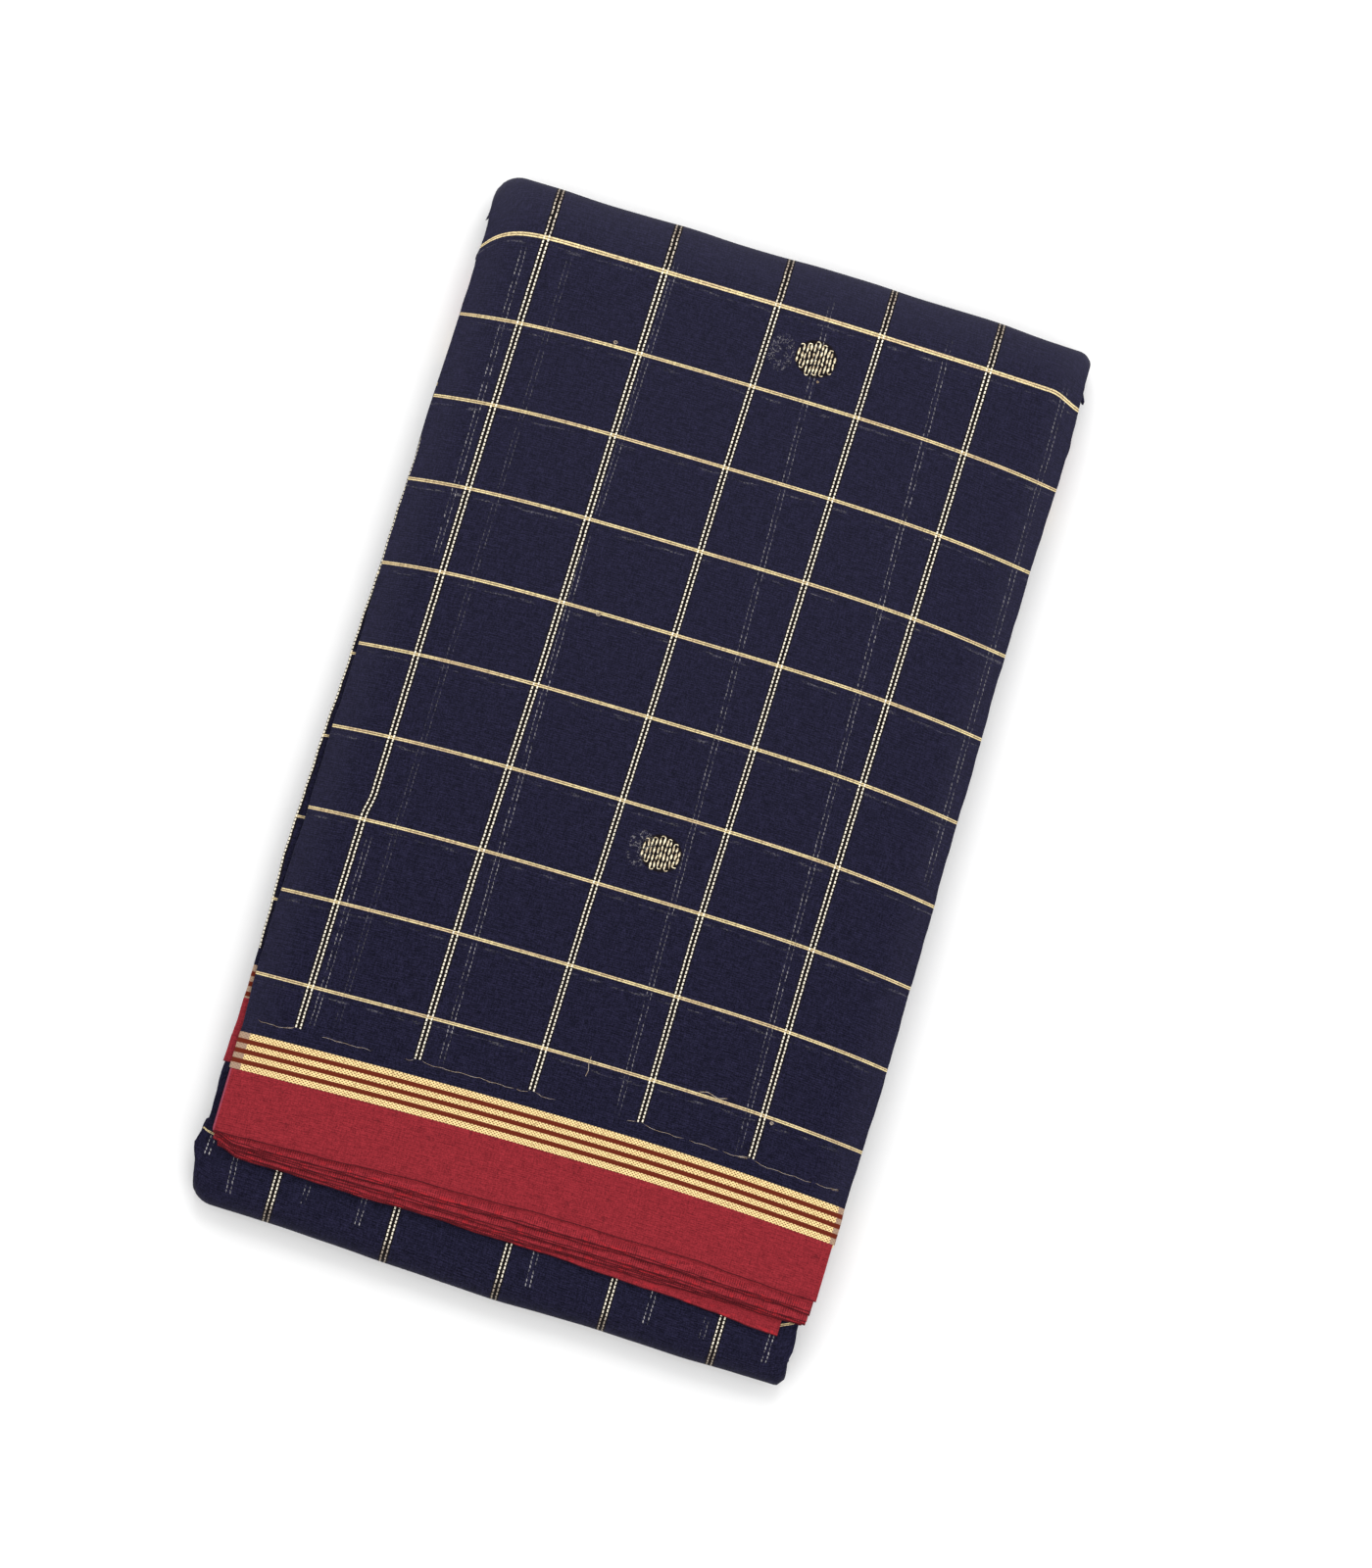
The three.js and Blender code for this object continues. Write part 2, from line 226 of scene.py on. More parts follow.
FAINT_LINES = table(
    "Foot_X Head_X From To Strength",
    (-94.5, -95.2, 55.0, 172.0, 0.75),
    (-89.5, -88.7, -119.0, -46.0, 0.7),
    (-81.0, -78.4, -119.0, 178.0, 0.2),
    (-43.2, -41.2, 84.0, 182.0, 0.5),
    (-41.4, -44.2, -119.0, 80.0, 0.8),
    (24.2, 15.8, -121.0, 187.0, 0.55),
    (69.4, 60.2, -121.0, 184.0, 0.7),
    (106.7, 104.8, -10.0, 180.0, 0.45),
)

# The raised coin motifs: their places, and the ends of their columns of floats.
COINS = table("x y seed", (16.1, 161.7, 3), (12.8, -23.3, 8))
COIN_PITCH = 1.3
COIN_FLOAT = 2.9
COIN_TOPS = (2.6, 3.9, 4.7, 4.9, 5.6, 6.0, 5.6, 5.0, 4.5, 3.6, 2.4)
COIN_FEET = (-2.9, -3.6, -4.2, -6.2, -6.0, -5.2, -5.6, -5.5, -4.6, -3.8, -2.6)
COIN_LOOP = {"inset": 0.35, "radius": 0.17, "lift": 0.1}
FAINT_COINS = table("x y", (3.4, 160.6), (5.2, -23.6))

# Loose threads: the floats above the band, small knots, and two strands.
FLOAT = {"gap": 1.2, "radius": 0.075, "fall": 1.1, "lift": 0.02}
KNOTS = table("x y size", (-54.2, 147.2, 0.9), (-32.9, 52.3, 1.0), (18.9, 153.9, 0.5), (78.0, -104.6, 0.8))
KNOT_TURN = 9.0
KNOT_RADIUS = 0.16
STRANDS = (
    ((9.4, -99.6), (9.2, -102.5), (9.8, -105.0), (9.3, -107.6)),
    ((49.7, -101.2), (53.0, -100.4), (57.0, -101.6), (60.5, -100.6)),
)
STRAND_RADIUS = 0.15

# The laps whose selvedges show, from the outermost inwards: side folds, and the selvedge's place at the left
# end, middle and right end. Each stands for four thicknesses of cloth.
SUBLAPS = 4
FOOT_LAPS = table(
    "node left right ends",
    ("red_border_top", -113.4, 111.3, (-160.9, -159.4, -158.7)),
    ("red_lap_2", -113.0, 110.4, (-162.8, -163.9, -162.8)),
    ("red_lap_3", -112.2, 110.1, (-164.4, -167.5, -166.7)),
    ("red_lap_4", -110.6, 109.0, (-166.4, -170.3, -166.9)),
    ("red_lap_5", -104.0, 101.7, (-167.0, -172.3, -175.0)),
)
HEAD_LAPS = table(
    "node left right ends",
    ("red_border_under", -109.8, 109.2, (158.2, 157.6, 157.2)),
    ("under_lap_2", -109.2, 108.8, (159.6, 159.4, 159.0)),
    ("under_lap_3", -110.0, 108.2, (160.2, 160.9, 160.2)),
    ("under_lap_4", -109.0, 109.0, (161.6, 161.7, 162.2)),
    ("under_lap_5", -109.5, 108.4, (162.0, 162.9, 163.2)),
)

# How far each of a piece's four laps falls short of its selvedge, from the outermost inwards.
RECEDES = {"outer": (0.0, 0.75, 0.35, 1.1), "covered": (0.0, -0.5, 0.3, -1.15)}

# How far the left corner of a piece's laps draws back, and how much of its share of the thickness a lap fills.
LAP_CORNERS = {"outer": 0.8, "covered": 2.4}
LAP_FILL = 0.82

# The lap that has slipped out at the left side of the top panel.
SLIPPED = {
    "low": 0.0,
    "high": 1.65,
    "recess": 9.5,
    "width": 8.6,
    "bottom": 0.36,
    "top": 1.3,
    "head": 150.0,
    "shift": 4.0,
}
SLIPPED_WAVES = ((0.14, ENDLESS, 41.0, 0.8), (0.08, ENDLESS, 13.0, 2.9))

# Small bumps where a few of the twelve folds of a side stand out; side is 1 at the left and -1 at the right.
LAP_BUMPS = table(
    "side panel first last y width proud",
    (1, TOP, 8, 9, 183.5, 3.2, 1.7),
    (1, TOP, 5, 6, 166.0, 4.0, 1.4),
    (1, MIDDLE, 2, 3, -170.0, 4.0, 0.8),
    (1, MIDDLE, 7, 7, -146.0, 9.0, 0.8),
    (-1, TOP, 6, 7, 181.5, 1.7, 2.4),
    (-1, TOP, 9, 10, 158.0, 8.0, 1.0),
    (-1, MIDDLE, 4, 5, -160.0, 11.0, 1.1),
    (-1, TOP, 3, 3, 40.0, 30.0, 0.8),
)

# Where the slipped lap's band, border and left edge lie.
SLIPPED_BAND_START = -99.7
SLIPPED_BAND_END = -111.6
SLIPPED_SELVEDGE = -135.4
SLIPPED_EDGE = {
    "y": (-136, -100, -65, -37, 0, 33, 103, 150),
    "left": (-116.5, -115.5, -116.7, -116.2, -114.6, -113.4, -111.5, -109.8),
}


def smooth(start, end, value):
    share = np.clip((value - start) / (end - start), 0.0, 1.0)
    return share * share * (3.0 - 2.0 * share)


def ripple(x, y, rows):
    """A sum of waves: each row has a height, its wavelengths across and along, and a phase."""
    total = np.zeros(np.broadcast(x, y).shape)
    for height, across, along, phase in rows:
        total = total + height * np.sin(2 * np.pi * (x / across + y / along) + phase)
    return total


def bow(x):
    """How far the top panel's border bows towards the foot at places across it."""
    away = x - BOW["middle"]
    left = BOW["left"] * (away / BOW["left_reach"]) ** 2
    right = BOW["right"] * (away / BOW["right_reach"]) ** 2
    return np.where(away < 0, left, right)


def corner_setback(x, end):
    """How far a rounded corner of the pack draws a thick fold back."""
    row = 1 if end == "head" else 2
    left, right = SIDES["left"][row] - CORNER_MARGIN, SIDES["right"][row] + CORNER_MARGIN
    radius = np.where(x < 0, *CORNER[end])
    inset = np.clip(np.where(x < 0, x - left, right - x), 0.0, radius)
    return radius - np.sqrt(radius**2 - (radius - inset) ** 2)


def fold_wave(x):
    return sum(height * np.sin(x / reach + phase) for height, reach, phase in FOLD_WAVES)


def nose(x, end):
    """How far a thick fold bulges past its round, along its length."""
    shape = NOSES[end]
    return shape["all"] + shape["more"] * np.exp(-(((x - shape["at"]) / shape["reach"]) ** 2))


def settle(x, y, z, panel):
    """Where the settled cloth has a point of the straight, square pack."""
    headward = smooth(FOLD_REACH, HEAD_AXIS, y)
    footward = smooth(FOLD_REACH, -FOOT_AXIS, -y)
    moved = y + HEAD_SKEW * x * headward
    moved = moved + np.where(panel != BOTTOM, (fold_wave(x) - corner_setback(x, "head")) * headward, 0.0)
    side = SIDES["left"][1]
    moved = moved + nose(x, "head") * smooth(HEAD_AXIS, HEAD, y) * smooth(side, side + NOSE_START, x)
    moved = moved - nose(x, "foot") * smooth(-FOOT_AXIS, -FOOT, -y)
    height = z - np.where(panel != BOTTOM, DROOP["depth"] * smooth(DROOP["start"], DROOP["end"], y), 0.0)
    at_foot = (fold_wave(x + FOOT_WAVE_SHIFT) + corner_setback(x, "foot") + FOOT_SKEW * x) * footward
    moved = moved + np.where(panel != TOP, at_foot, -bow(x) * smooth(BOW["start"], BOW["end"], -y))
    sag = SAG["share"] * smooth(SAG["start"], SAG["start"] + SAG["width"], np.abs(x))
    loft = LOFT["share"] * np.sin(x / LOFT["across"] + LOFT["phase"]) * np.cos(y / LOFT["along"])
    return np.stack(np.broadcast_arrays(x, moved, height * (1 - sag + loft)), axis=-1)


def vectors(*columns):
    return np.stack(np.broadcast_arrays(*columns), axis=-1)


def edge_distance(x, left, right):
    return np.minimum(x - left, right - x)


class Strip:
    """Stations along the folded strip: a place on its middle line, the way its face looks and its panel."""

    def __init__(self, rows):
        columns = np.array(rows, dtype=float).T
        self.y, self.z, self.normal_y, self.normal_z, self.panel, self.at = columns

    def points(self, x, offset):
        """Settled points, for arrays with a row for each station."""
        y = self.y[:, None] + offset * self.normal_y[:, None]
        z = self.z[:, None] + offset * self.normal_z[:, None]
        return settle(x, y, z, self.panel[:, None])

    def travelled(self, offset):
        """Length along the strip at a distance from its middle line."""
        y = self.y + offset * self.normal_y
        z = self.z + offset * self.normal_z
        return np.concatenate([[0.0], np.cumsum(np.hypot(np.diff(y), np.diff(z)))])

    def outline(self):
        left = np.interp(self.at, SIDES["at"], SIDES["left"])
        right = np.interp(self.at, SIDES["at"], SIDES["right"])
        for panel, shape in ((TOP, TOP_SIDES), (MIDDLE, MIDDLE_SIDES), (BOTTOM, BOTTOM_SIDES)):
            here = self.panel == panel
            left = left - np.interp(self.y, shape["left_y"], shape["left"]) * here
            right = right + np.interp(self.y, shape["right_y"], shape["right"]) * here
        return left, right


def spaced(start, end, step):
    count = max(1, int(round(abs(end - start) / step)))
    return np.linspace(start, end, count + 1)


def top_rows(start, end, step):
    reach = HEAD_AXIS - LAPS_END
    return [(y, TOP_LEVEL, 0, 1, TOP, max(0.0, (y - LAPS_END) / reach)) for y in spaced(start, end, step)]


def middle_rows(start, end, step):
    reach = HEAD_AXIS - FOOT_AXIS
    return [(y, MIDDLE_LEVEL, 0, -1, MIDDLE, 1 + (HEAD_AXIS - y) / reach) for y in spaced(start, end, step)]


def bottom_rows(start, end, step):
    reach = -LAPS_END - FOOT_AXIS
    return [(y, BOTTOM_LEVEL, 0, 1, BOTTOM, 2 + (y - FOOT_AXIS) / reach) for y in spaced(start, end, step)]


def fold_rows(axis, way, height, at, steps):
    """Stations round a thick fold from its upper cloth to its lower; way is 1 at the head, -1 at the foot."""
    rows = []
    for angle in np.linspace(math.pi / 2, -math.pi / 2, steps + 1)[1:-1]:
        cosine, sine = math.cos(angle), math.sin(angle)
        rows.append((axis + way * TURN * cosine, height + TURN * sine, cosine, way * sine, MIDDLE, at))
    return rows


def head_fold_rows(steps):
    return fold_rows(HEAD_AXIS, 1, (TOP_LEVEL + MIDDLE_LEVEL) / 2, 1, steps)


def foot_fold_rows(steps):
    return fold_rows(FOOT_AXIS, -1, (MIDDLE_LEVEL + BOTTOM_LEVEL) / 2, 2, steps)


def to_frame(points):
    """Metres in the frame, for millimetres in the pack's own plane."""
    return (points + np.array(ORIGIN_SHIFT)) * MM


def make_piece(name, grids, material, slot, attributes=(), flip=False, closed=False):
    """One object from grids of points with their vector attributes; a closed grid is a capped tube."""
    vertices, faces, caps, values = [], [], [], {key: [] for key in attributes}
    start = 0
    for points, data in grids:
        rows, columns = points.shape[:2]
        index = start + np.arange(rows * columns).reshape(rows, columns)
        if closed:
            first, last = index[0].tolist(), index[-1].tolist()
            caps += [first, last[::-1]] if flip else [first[::-1], last]
            index = np.concatenate([index, index[:, :1]], axis=1)
        a, b, c, d = index[:-1, :-1], index[:-1, 1:], index[1:, 1:], index[1:, :-1]
        corners = (a, d, c, b) if flip else (a, b, c, d)
        faces.append(np.stack(corners, axis=-1).reshape(-1, 4))
        vertices.append(to_frame(points).reshape(-1, 3))
        for key in attributes:
            values[key].append(data[key].reshape(-1, 3))
        start += rows * columns
    mesh = bpy.data.meshes.new(name)
    mesh.from_pydata(np.concatenate(vertices).tolist(), [], np.concatenate(faces).tolist() + caps)
    for key in attributes:
        attribute = mesh.attributes.new(key, "FLOAT_VECTOR", "POINT")
        attribute.data.foreach_set("vector", np.concatenate(values[key]).astype(np.float32).ravel())
    mesh.shade_smooth()
    mesh.materials.append(material)
    piece = bpy.data.objects.new(name, mesh)
    bpy.context.scene.collection.objects.link(piece)
    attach(piece, "root")
    return piece


def warp_heights(x):
    """Heights of the warp lines along the pack at places across it, one row for each line."""
    share = np.abs(x) / HALF_WIDTH
    rows = []
    for line in WARP_LINES:
        left = line["left"] * share ** line["left_power"]
        right = line["right"] * share ** line["right_power"]
        rows.append(line["middle"] - np.where(x < 0, left, right))
    rows[0] = rows[0] - HEAD_CURL["drop"] * smooth(HEAD_CURL["start"], HEAD_CURL["end"], x)
    return np.stack(rows)


def along_lines(value, lines, spacing, first):
    """A coordinate that steps by spacing from one line to the next, given the lines in rising order."""
    result = first * spacing + (value - lines[0])
    for k in range(len(lines) - 1):
        share = (value - lines[k]) / (lines[k + 1] - lines[k])
        result = np.where(value > lines[k], (first + k + share) * spacing, result)
    last = first + len(lines) - 1
    return np.where(value > lines[-1], last * spacing + (value - lines[-1]), result)


def warp_coordinate(x, y):
    return along_lines(y, warp_heights(x)[::-1], WARP_SPACING, 0)


def weft_coordinate(x, y):
    lines = np.stack([np.interp(y, WEFT_HEIGHTS, line["across"]) for line in WEFT_LINES])
    return along_lines(x, lines, WEFT_SPACING, WEFT_LINES[0]["number"])


def foot_weft_coordinate(x):
    lines = [np.full(x.shape, place) for place in FOOT_WEFT_LINES]
    return along_lines(x, lines, WEFT_SPACING, -2)


# The outer cloth's side folds: how round they are, how far the cloth tucks under, and the columns beside them.
SIDE_ROUND = 0.55
SIDE_TUCK = 5.0
SIDE_COLUMNS = (2.0, 3.2, 4.6, 6.2)
SIDE_MARGIN = 8.0


def across_ring(left, right, step):
    """Columns of a wide cloth with both side folds: what each is measured from, how far in, and its depth."""
    angles = np.linspace(math.pi / 2, -math.pi / 2, 7)
    turn = [(SIDE_ROUND * (1 - math.cos(a)), WALL / 2 * (1 - math.sin(a))) for a in angles]
    middle = spaced(left + SIDE_MARGIN, right - SIDE_MARGIN, step)
    under = (SIDE_TUCK, WALL)
    columns = [("left", *under)]
    columns += [("left", inset, depth) for inset, depth in reversed(turn)]
    columns += [("left", inset, 0.0) for inset in SIDE_COLUMNS]
    columns += [("share", (x - left) / (right - left), 0.0) for x in middle]
    columns += [("right", inset, 0.0) for inset in reversed(SIDE_COLUMNS)]
    columns += [("right", inset, depth) for inset, depth in turn]
    columns += [("right", *under)]
    return columns


def across_points(columns, left, right):
    """x and depth arrays with a row for each station, from the ring's columns and the side outlines."""
    place = {
        "left": lambda inset: left + inset,
        "right": lambda inset: right - inset,
        "share": lambda share: left + share * (right - left),
    }
    x = np.stack([place[anchor](value) for anchor, value, _ in columns], axis=1)
    return x, np.array([[below for _, _, below in columns]])


# Low swells of the outer cloth, and small puckers towards its side folds: height, wavelengths and phase.
SWELLS = (
    (0.10, 96.0, 410.0, 0.4),
    (0.07, -61.0, 133.0, 2.2),
    (0.05, 37.0, 88.0, 4.1),
    (0.035, 23.0, -51.0, 1.3),
)
EDGE_WAVES = ((0.16, ENDLESS, 61.0, 0.3), (0.09, ENDLESS, 23.0, 1.9), (0.05, ENDLESS, 9.7, 4.4))
SWELL_MARGIN = 14.0
RIGHT_SHIFT = 37.0


def wide_cloth(strip, face, step):
    """The outer cloth on one face of the strip: places across, lengths along it and settled points."""
    left, right = strip.outline()
    left = left + ripple(strip.y * 0, strip.y, EDGE_WAVES)
    right = right + ripple(strip.y * 0, strip.y + RIGHT_SHIFT, EDGE_WAVES)
    x, depth = across_points(across_ring(left[0], right[0], step), left, right)
    length = strip.travelled(face * OUTER)
    from_side = edge_distance(x, left[:, None], right[:, None])
    swell = ripple(x, length[:, None] + 0 * x, SWELLS) * smooth(0, SWELL_MARGIN, from_side)
    swell = swell * (strip.panel != BOTTOM)[:, None]
    offset = OUTER - depth + swell * (depth < 0.2)
    points = strip.points(x, face * offset)
    return x, length[:, None] + 0 * x, points


def end_of_selvedge(ends, x):
    """Where a selvedge lies along the pack, as a curve through its places at the left, middle and right."""
    left, middle, right = ends
    share = x / HALF_WIDTH
    return middle + (right - left) / 2 * share + ((right + left) / 2 - middle) * share**2


# Waves of a lap's selvedge, and of how its free rim lifts: height and wavelength.
RIM_WAVES = ((0.20, 53.0), (0.11, 21.0), (0.05, 7.9), (0.02, 3.1))
LIFT_WAVES = ((0.11, 31.0), (0.06, 11.0), (0.02, 4.3))
ROUND_LEFT = 9.0
FREE_RIM = 5.0


def phased(waves, phases):
    """Waves across the pack for ripple, with a phase for each."""
    return [(height, across, ENDLESS, phase) for (height, across), phase in zip(waves, phases)]


def lap_slab(lap, level, thickness, start, recede, seed, panel, step):
    """A closed thin lap that ends in a selvedge: settled points round its section, row by row along it."""
    random = np.random.default_rng(seed)
    half = thickness / 2
    left = lap["left"] + random.uniform(0.0, 0.5)
    right = lap["right"] - random.uniform(0.0, 0.5)
    nose = [(half * (1 - math.cos(a)), half * math.sin(a)) for a in np.linspace(-math.pi / 2, math.pi / 2, 5)]
    inner = spaced(left + half, right - half, step)[1:-1]
    ring = [(x, -half) for x in inner]
    ring += [(right - inset, rise) for inset, rise in nose]
    ring += [(x, half) for x in inner[::-1]]
    ring += [(left + inset, rise) for inset, rise in nose[::-1]]
    ring = np.array(ring)
    direction = -1.0 if panel == TOP else 1.0
    phases = random.uniform(0, 2 * math.pi, 4)
    x = ring[:, 0]
    tucked = recede + lap["corner"] * smooth(ROUND_LEFT, 0.0, x - left)
    uneven = ripple(x, 0 * x, phased(RIM_WAVES, phases))
    selvedge = end_of_selvedge(lap["ends"], x) + uneven - direction * tucked
    rows = []
    for share in np.linspace(0, 1, 13):
        rows.append((start + (selvedge - direction * half - start) * share, 1.0))
    for angle in (math.pi / 6, math.pi / 3, math.pi / 2):
        rows.append((selvedge - direction * half * (1 - math.sin(angle)), math.cos(angle)))
    y = np.stack([row for row, _ in rows])
    flatten = np.array([scale for _, scale in rows])[:, None]
    free = smooth(FREE_RIM, 0.0, np.abs(selvedge[None, :] - y))
    lift_waves = phased(LIFT_WAVES, (lap["lift"], 2.0 * lap["lift"], phases[1]))
    lift = ripple(x[None, :], 0 * y, lift_waves) * free
    z = level + ring[:, 1][None, :] * flatten + lift
    points = settle(x[None, :] + 0 * y, y, z, np.full(y.shape, panel))
    return x[None, :] + 0 * y, y, selvedge[None, :] + 0 * y, points


class Value:
    """A node's output, to which a maths node is added by the signs + - * and /."""

    def __init__(self, graph, socket):
        self.graph = graph
        self.socket = socket

    def __add__(self, other):
        return self.graph.math("ADD", self, other)

    def __radd__(self, other):
        return self.graph.math("ADD", other, self)

    def __sub__(self, other):
        return self.graph.math("SUBTRACT", self, other)

    def __rsub__(self, other):
        return self.graph.math("SUBTRACT", other, self)

    def __mul__(self, other):
        return self.graph.math("MULTIPLY", self, other)

    def __truediv__(self, other):
        return self.graph.math("DIVIDE", self, other)

    def __rtruediv__(self, other):
        return self.graph.math("DIVIDE", other, self)


class Graph:
    """Short ways to add nodes to a shader tree or to a shader node group."""

    def __init__(self, tree):
        self.tree = tree
        tree.nodes.clear()

    def node(self, kind, **settings):
        node = self.tree.nodes.new(kind)
        for key, value in settings.items():
            setattr(node, key, value)
        return node

    def feed(self, socket, value):
        if isinstance(value, Value):
            self.tree.links.new(value.socket, socket)
        elif value is not None:
            socket.default_value = value

    def math(self, operation, a, b=None):
        node = self.node("ShaderNodeMath", operation=operation)
        self.feed(node.inputs[0], a)
        self.feed(node.inputs[1], b)
        return Value(self, node.outputs[0])

    def ramp(self, value, low, high, to_low=0.0, to_high=1.0):
        """A smooth step from low to high; high may be below low."""
        node = self.node("ShaderNodeMapRange", interpolation_type="SMOOTHSTEP")
        for socket, given in zip(node.inputs, (value, low, high, to_low, to_high)):
            self.feed(socket, given)
        return Value(self, node.outputs[0])

    def close_to(self, value, place, outer, inner):
        """A mask that is 1 where a value lies within inner of a place, and 0 beyond outer."""
        return self.ramp(self.math("ABSOLUTE", value - place), outer, inner)

    def mix(self, share, a, b):
        node = self.node("ShaderNodeMix", data_type="RGBA")
        self.feed(node.inputs[0], share)
        self.feed(node.inputs[6], a)
        self.feed(node.inputs[7], b)
        return Value(self, node.outputs[2])

    def combine(self, x, y, z=0.0):
        node = self.node("ShaderNodeCombineXYZ")
        for socket, given in zip(node.inputs, (x, y, z)):
            self.feed(socket, given)
        return Value(self, node.outputs[0])

    def noise(self, vector, scale, detail=2.0, roughness=0.5):
        node = self.node("ShaderNodeTexNoise")
        self.feed(node.inputs["Vector"], vector)
        node.inputs["Scale"].default_value = scale
        node.inputs["Detail"].default_value = detail
        node.inputs["Roughness"].default_value = roughness
        return Value(self, node.outputs["Fac"])

    def attribute(self, name):
        node = self.node("ShaderNodeAttribute", attribute_name=name)
        split = self.node("ShaderNodeSeparateXYZ")
        self.feed(split.inputs[0], Value(self, node.outputs["Vector"]))
        return [Value(self, part) for part in split.outputs]

    def group(self, tree, **inputs):
        node = self.node("ShaderNodeGroup", node_tree=tree)
        for name, value in inputs.items():
            self.feed(node.inputs[name.replace("_", " ")], value)
        return {output.name: Value(self, output) for output in node.outputs}


def new_group(name, inputs, outputs):
    """A shader node group with named float sockets: its graph, its inputs and a way to close it."""
    tree = bpy.data.node_groups.new(name, "ShaderNodeTree")
    for label, default in inputs:
        socket = tree.interface.new_socket(name=label, in_out="INPUT", socket_type="NodeSocketFloat")
        socket.default_value = default
    for label in outputs:
        tree.interface.new_socket(name=label, in_out="OUTPUT", socket_type="NodeSocketFloat")
    graph = Graph(tree)
    entry = graph.node("NodeGroupInput")
    leave = graph.node("NodeGroupOutput")

    def close(**values):
        for label, value in values.items():
            graph.feed(leave.inputs[label], value)
        return tree

    return graph, {label: Value(graph, entry.outputs[label]) for label, _ in inputs}, close


def thread_pair_group():
    """Two dashed gold weft threads side by side, repeated at the check's spacing."""
    places = (("Across", 0.0), ("Along", 0.0), ("Spacing", WEFT_SPACING))
    inputs = (*places, ("Apart", 0.79), ("Width", 0.29), ("Stitch", 1.45))
    g, given, close = new_group("Thread pair", inputs, ("Thread", "Shade", "Height"))
    half_spacing = given["Spacing"] * 0.5
    wander = g.noise(g.combine(0.0, given["Along"]), 0.35, 2.0)
    across = given["Across"] + (wander - 0.5) * 0.35
    away = g.math("PINGPONG", across, half_spacing)
    side = g.math("PINGPONG", across + half_spacing, given["Spacing"])
    side = g.math("SIGN", side - half_spacing)
    from_thread = g.math("ABSOLUTE", away - given["Apart"])
    body = g.ramp(from_thread / given["Width"], 1.15, 0.7)
    shifted = given["Along"] + side * 0.31
    half_stitch = given["Stitch"] * 0.5
    phase = g.math("PINGPONG", shifted, half_stitch) / half_stitch
    stitch = g.ramp(phase, 0.20, 0.40)
    cell = g.noise(g.combine(side * 3.0, shifted * 0.6), 1.0, 1.0)
    bright = g.ramp(cell, 0.25, 0.7, 0.62, 1.0)
    thread = body * stitch * bright
    # Painted shade along and between the raised threads.
    shade = g.ramp(away, given["Apart"] + 1.00, given["Apart"] + 0.50)
    height = body * (0.3 + stitch * 0.7)
    return close(Thread=thread, Shade=shade, Height=height)


def ribbed_line_group():
    """A warp line of two gold threads bound close together, with fine ribs across it."""
    inputs = (("Across", 0.0), ("Along", 0.0), ("Spacing", WARP_SPACING), ("Width", 0.62), ("Rib", 0.58))
    g, given, close = new_group("Ribbed line", inputs, ("Thread", "Tone", "Worn", "Height"))
    away = g.math("PINGPONG", given["Across"], given["Spacing"] * 0.5)
    fray = g.noise(g.combine(given["Along"], 0.0), 1.6, 1.0)
    width = given["Width"] + (fray - 0.5) * 0.22
    body = g.ramp(away / width, 1.0, 0.78)
    split = g.noise(g.combine(given["Along"] * 0.11, 0.0), 1.0, 2.0)
    parting = g.ramp(away, 0.05, g.ramp(split, 0.35, 0.6, 0.16, 0.30), 0.1, 1.0)
    rib = g.math("PINGPONG", given["Along"], given["Rib"] * 0.5)
    ribbed = g.ramp(rib / given["Rib"], 0.05, 0.30, 0.7, 1.0)
    glint = g.noise(g.combine(given["Along"] * 0.9, away * 2.0), 1.2, 3.0, 0.6)
    tone = parting * ribbed * g.ramp(glint, 0.34, 0.6, 0.4, 1.0)
    worn = g.ramp(g.noise(g.combine(given["Along"] * 0.05, given["Across"]), 1.0, 2.0), 0.40, 0.62)
    height = body * (parting * ribbed)
    return close(Thread=body, Tone=tone, Worn=worn, Height=height)


def weave_group():
    """The plain weave of the cotton, with uneven threads that run across the pack."""
    inputs = (("Across", 0.0), ("Along", 0.0), ("Thread", 0.46))
    g, given, close = new_group("Cotton weave", inputs, ("Tint", "Height"))
    place = g.combine(given["Across"], given["Along"])
    slub = g.noise(g.combine(given["Across"] * 0.22, given["Along"] * 1.35), 1.0, 2.0, 0.8)
    upright = g.noise(g.combine(given["Across"] * 1.35, given["Along"] * 0.20), 1.0, 2.0, 0.8)
    drift = g.noise(place, 0.12, 1.0) * 6.0
    rows = g.math("SINE", given["Along"] * (FULL_TURN / WEAVE_ROW) + drift)
    rows = 0.5 + rows * 0.5
    grain = g.ramp(g.noise(place, 1.7, 2.0, 0.85), 0.36, 0.64)
    turn = FULL_TURN / given["Thread"]
    up = g.math("SINE", given["Across"] * turn)
    over = g.math("SINE", given["Along"] * turn)
    cross = 0.5 + up * over * 0.5
    tint = rows * 0.18 + grain * 0.40
    tint = tint + g.ramp(slub, 0.36, 0.64) * 0.24
    tint = tint + g.ramp(upright, 0.36, 0.64) * 0.18
    height = slub * 0.6 + cross * 0.4
    return close(Tint=tint, Height=height)


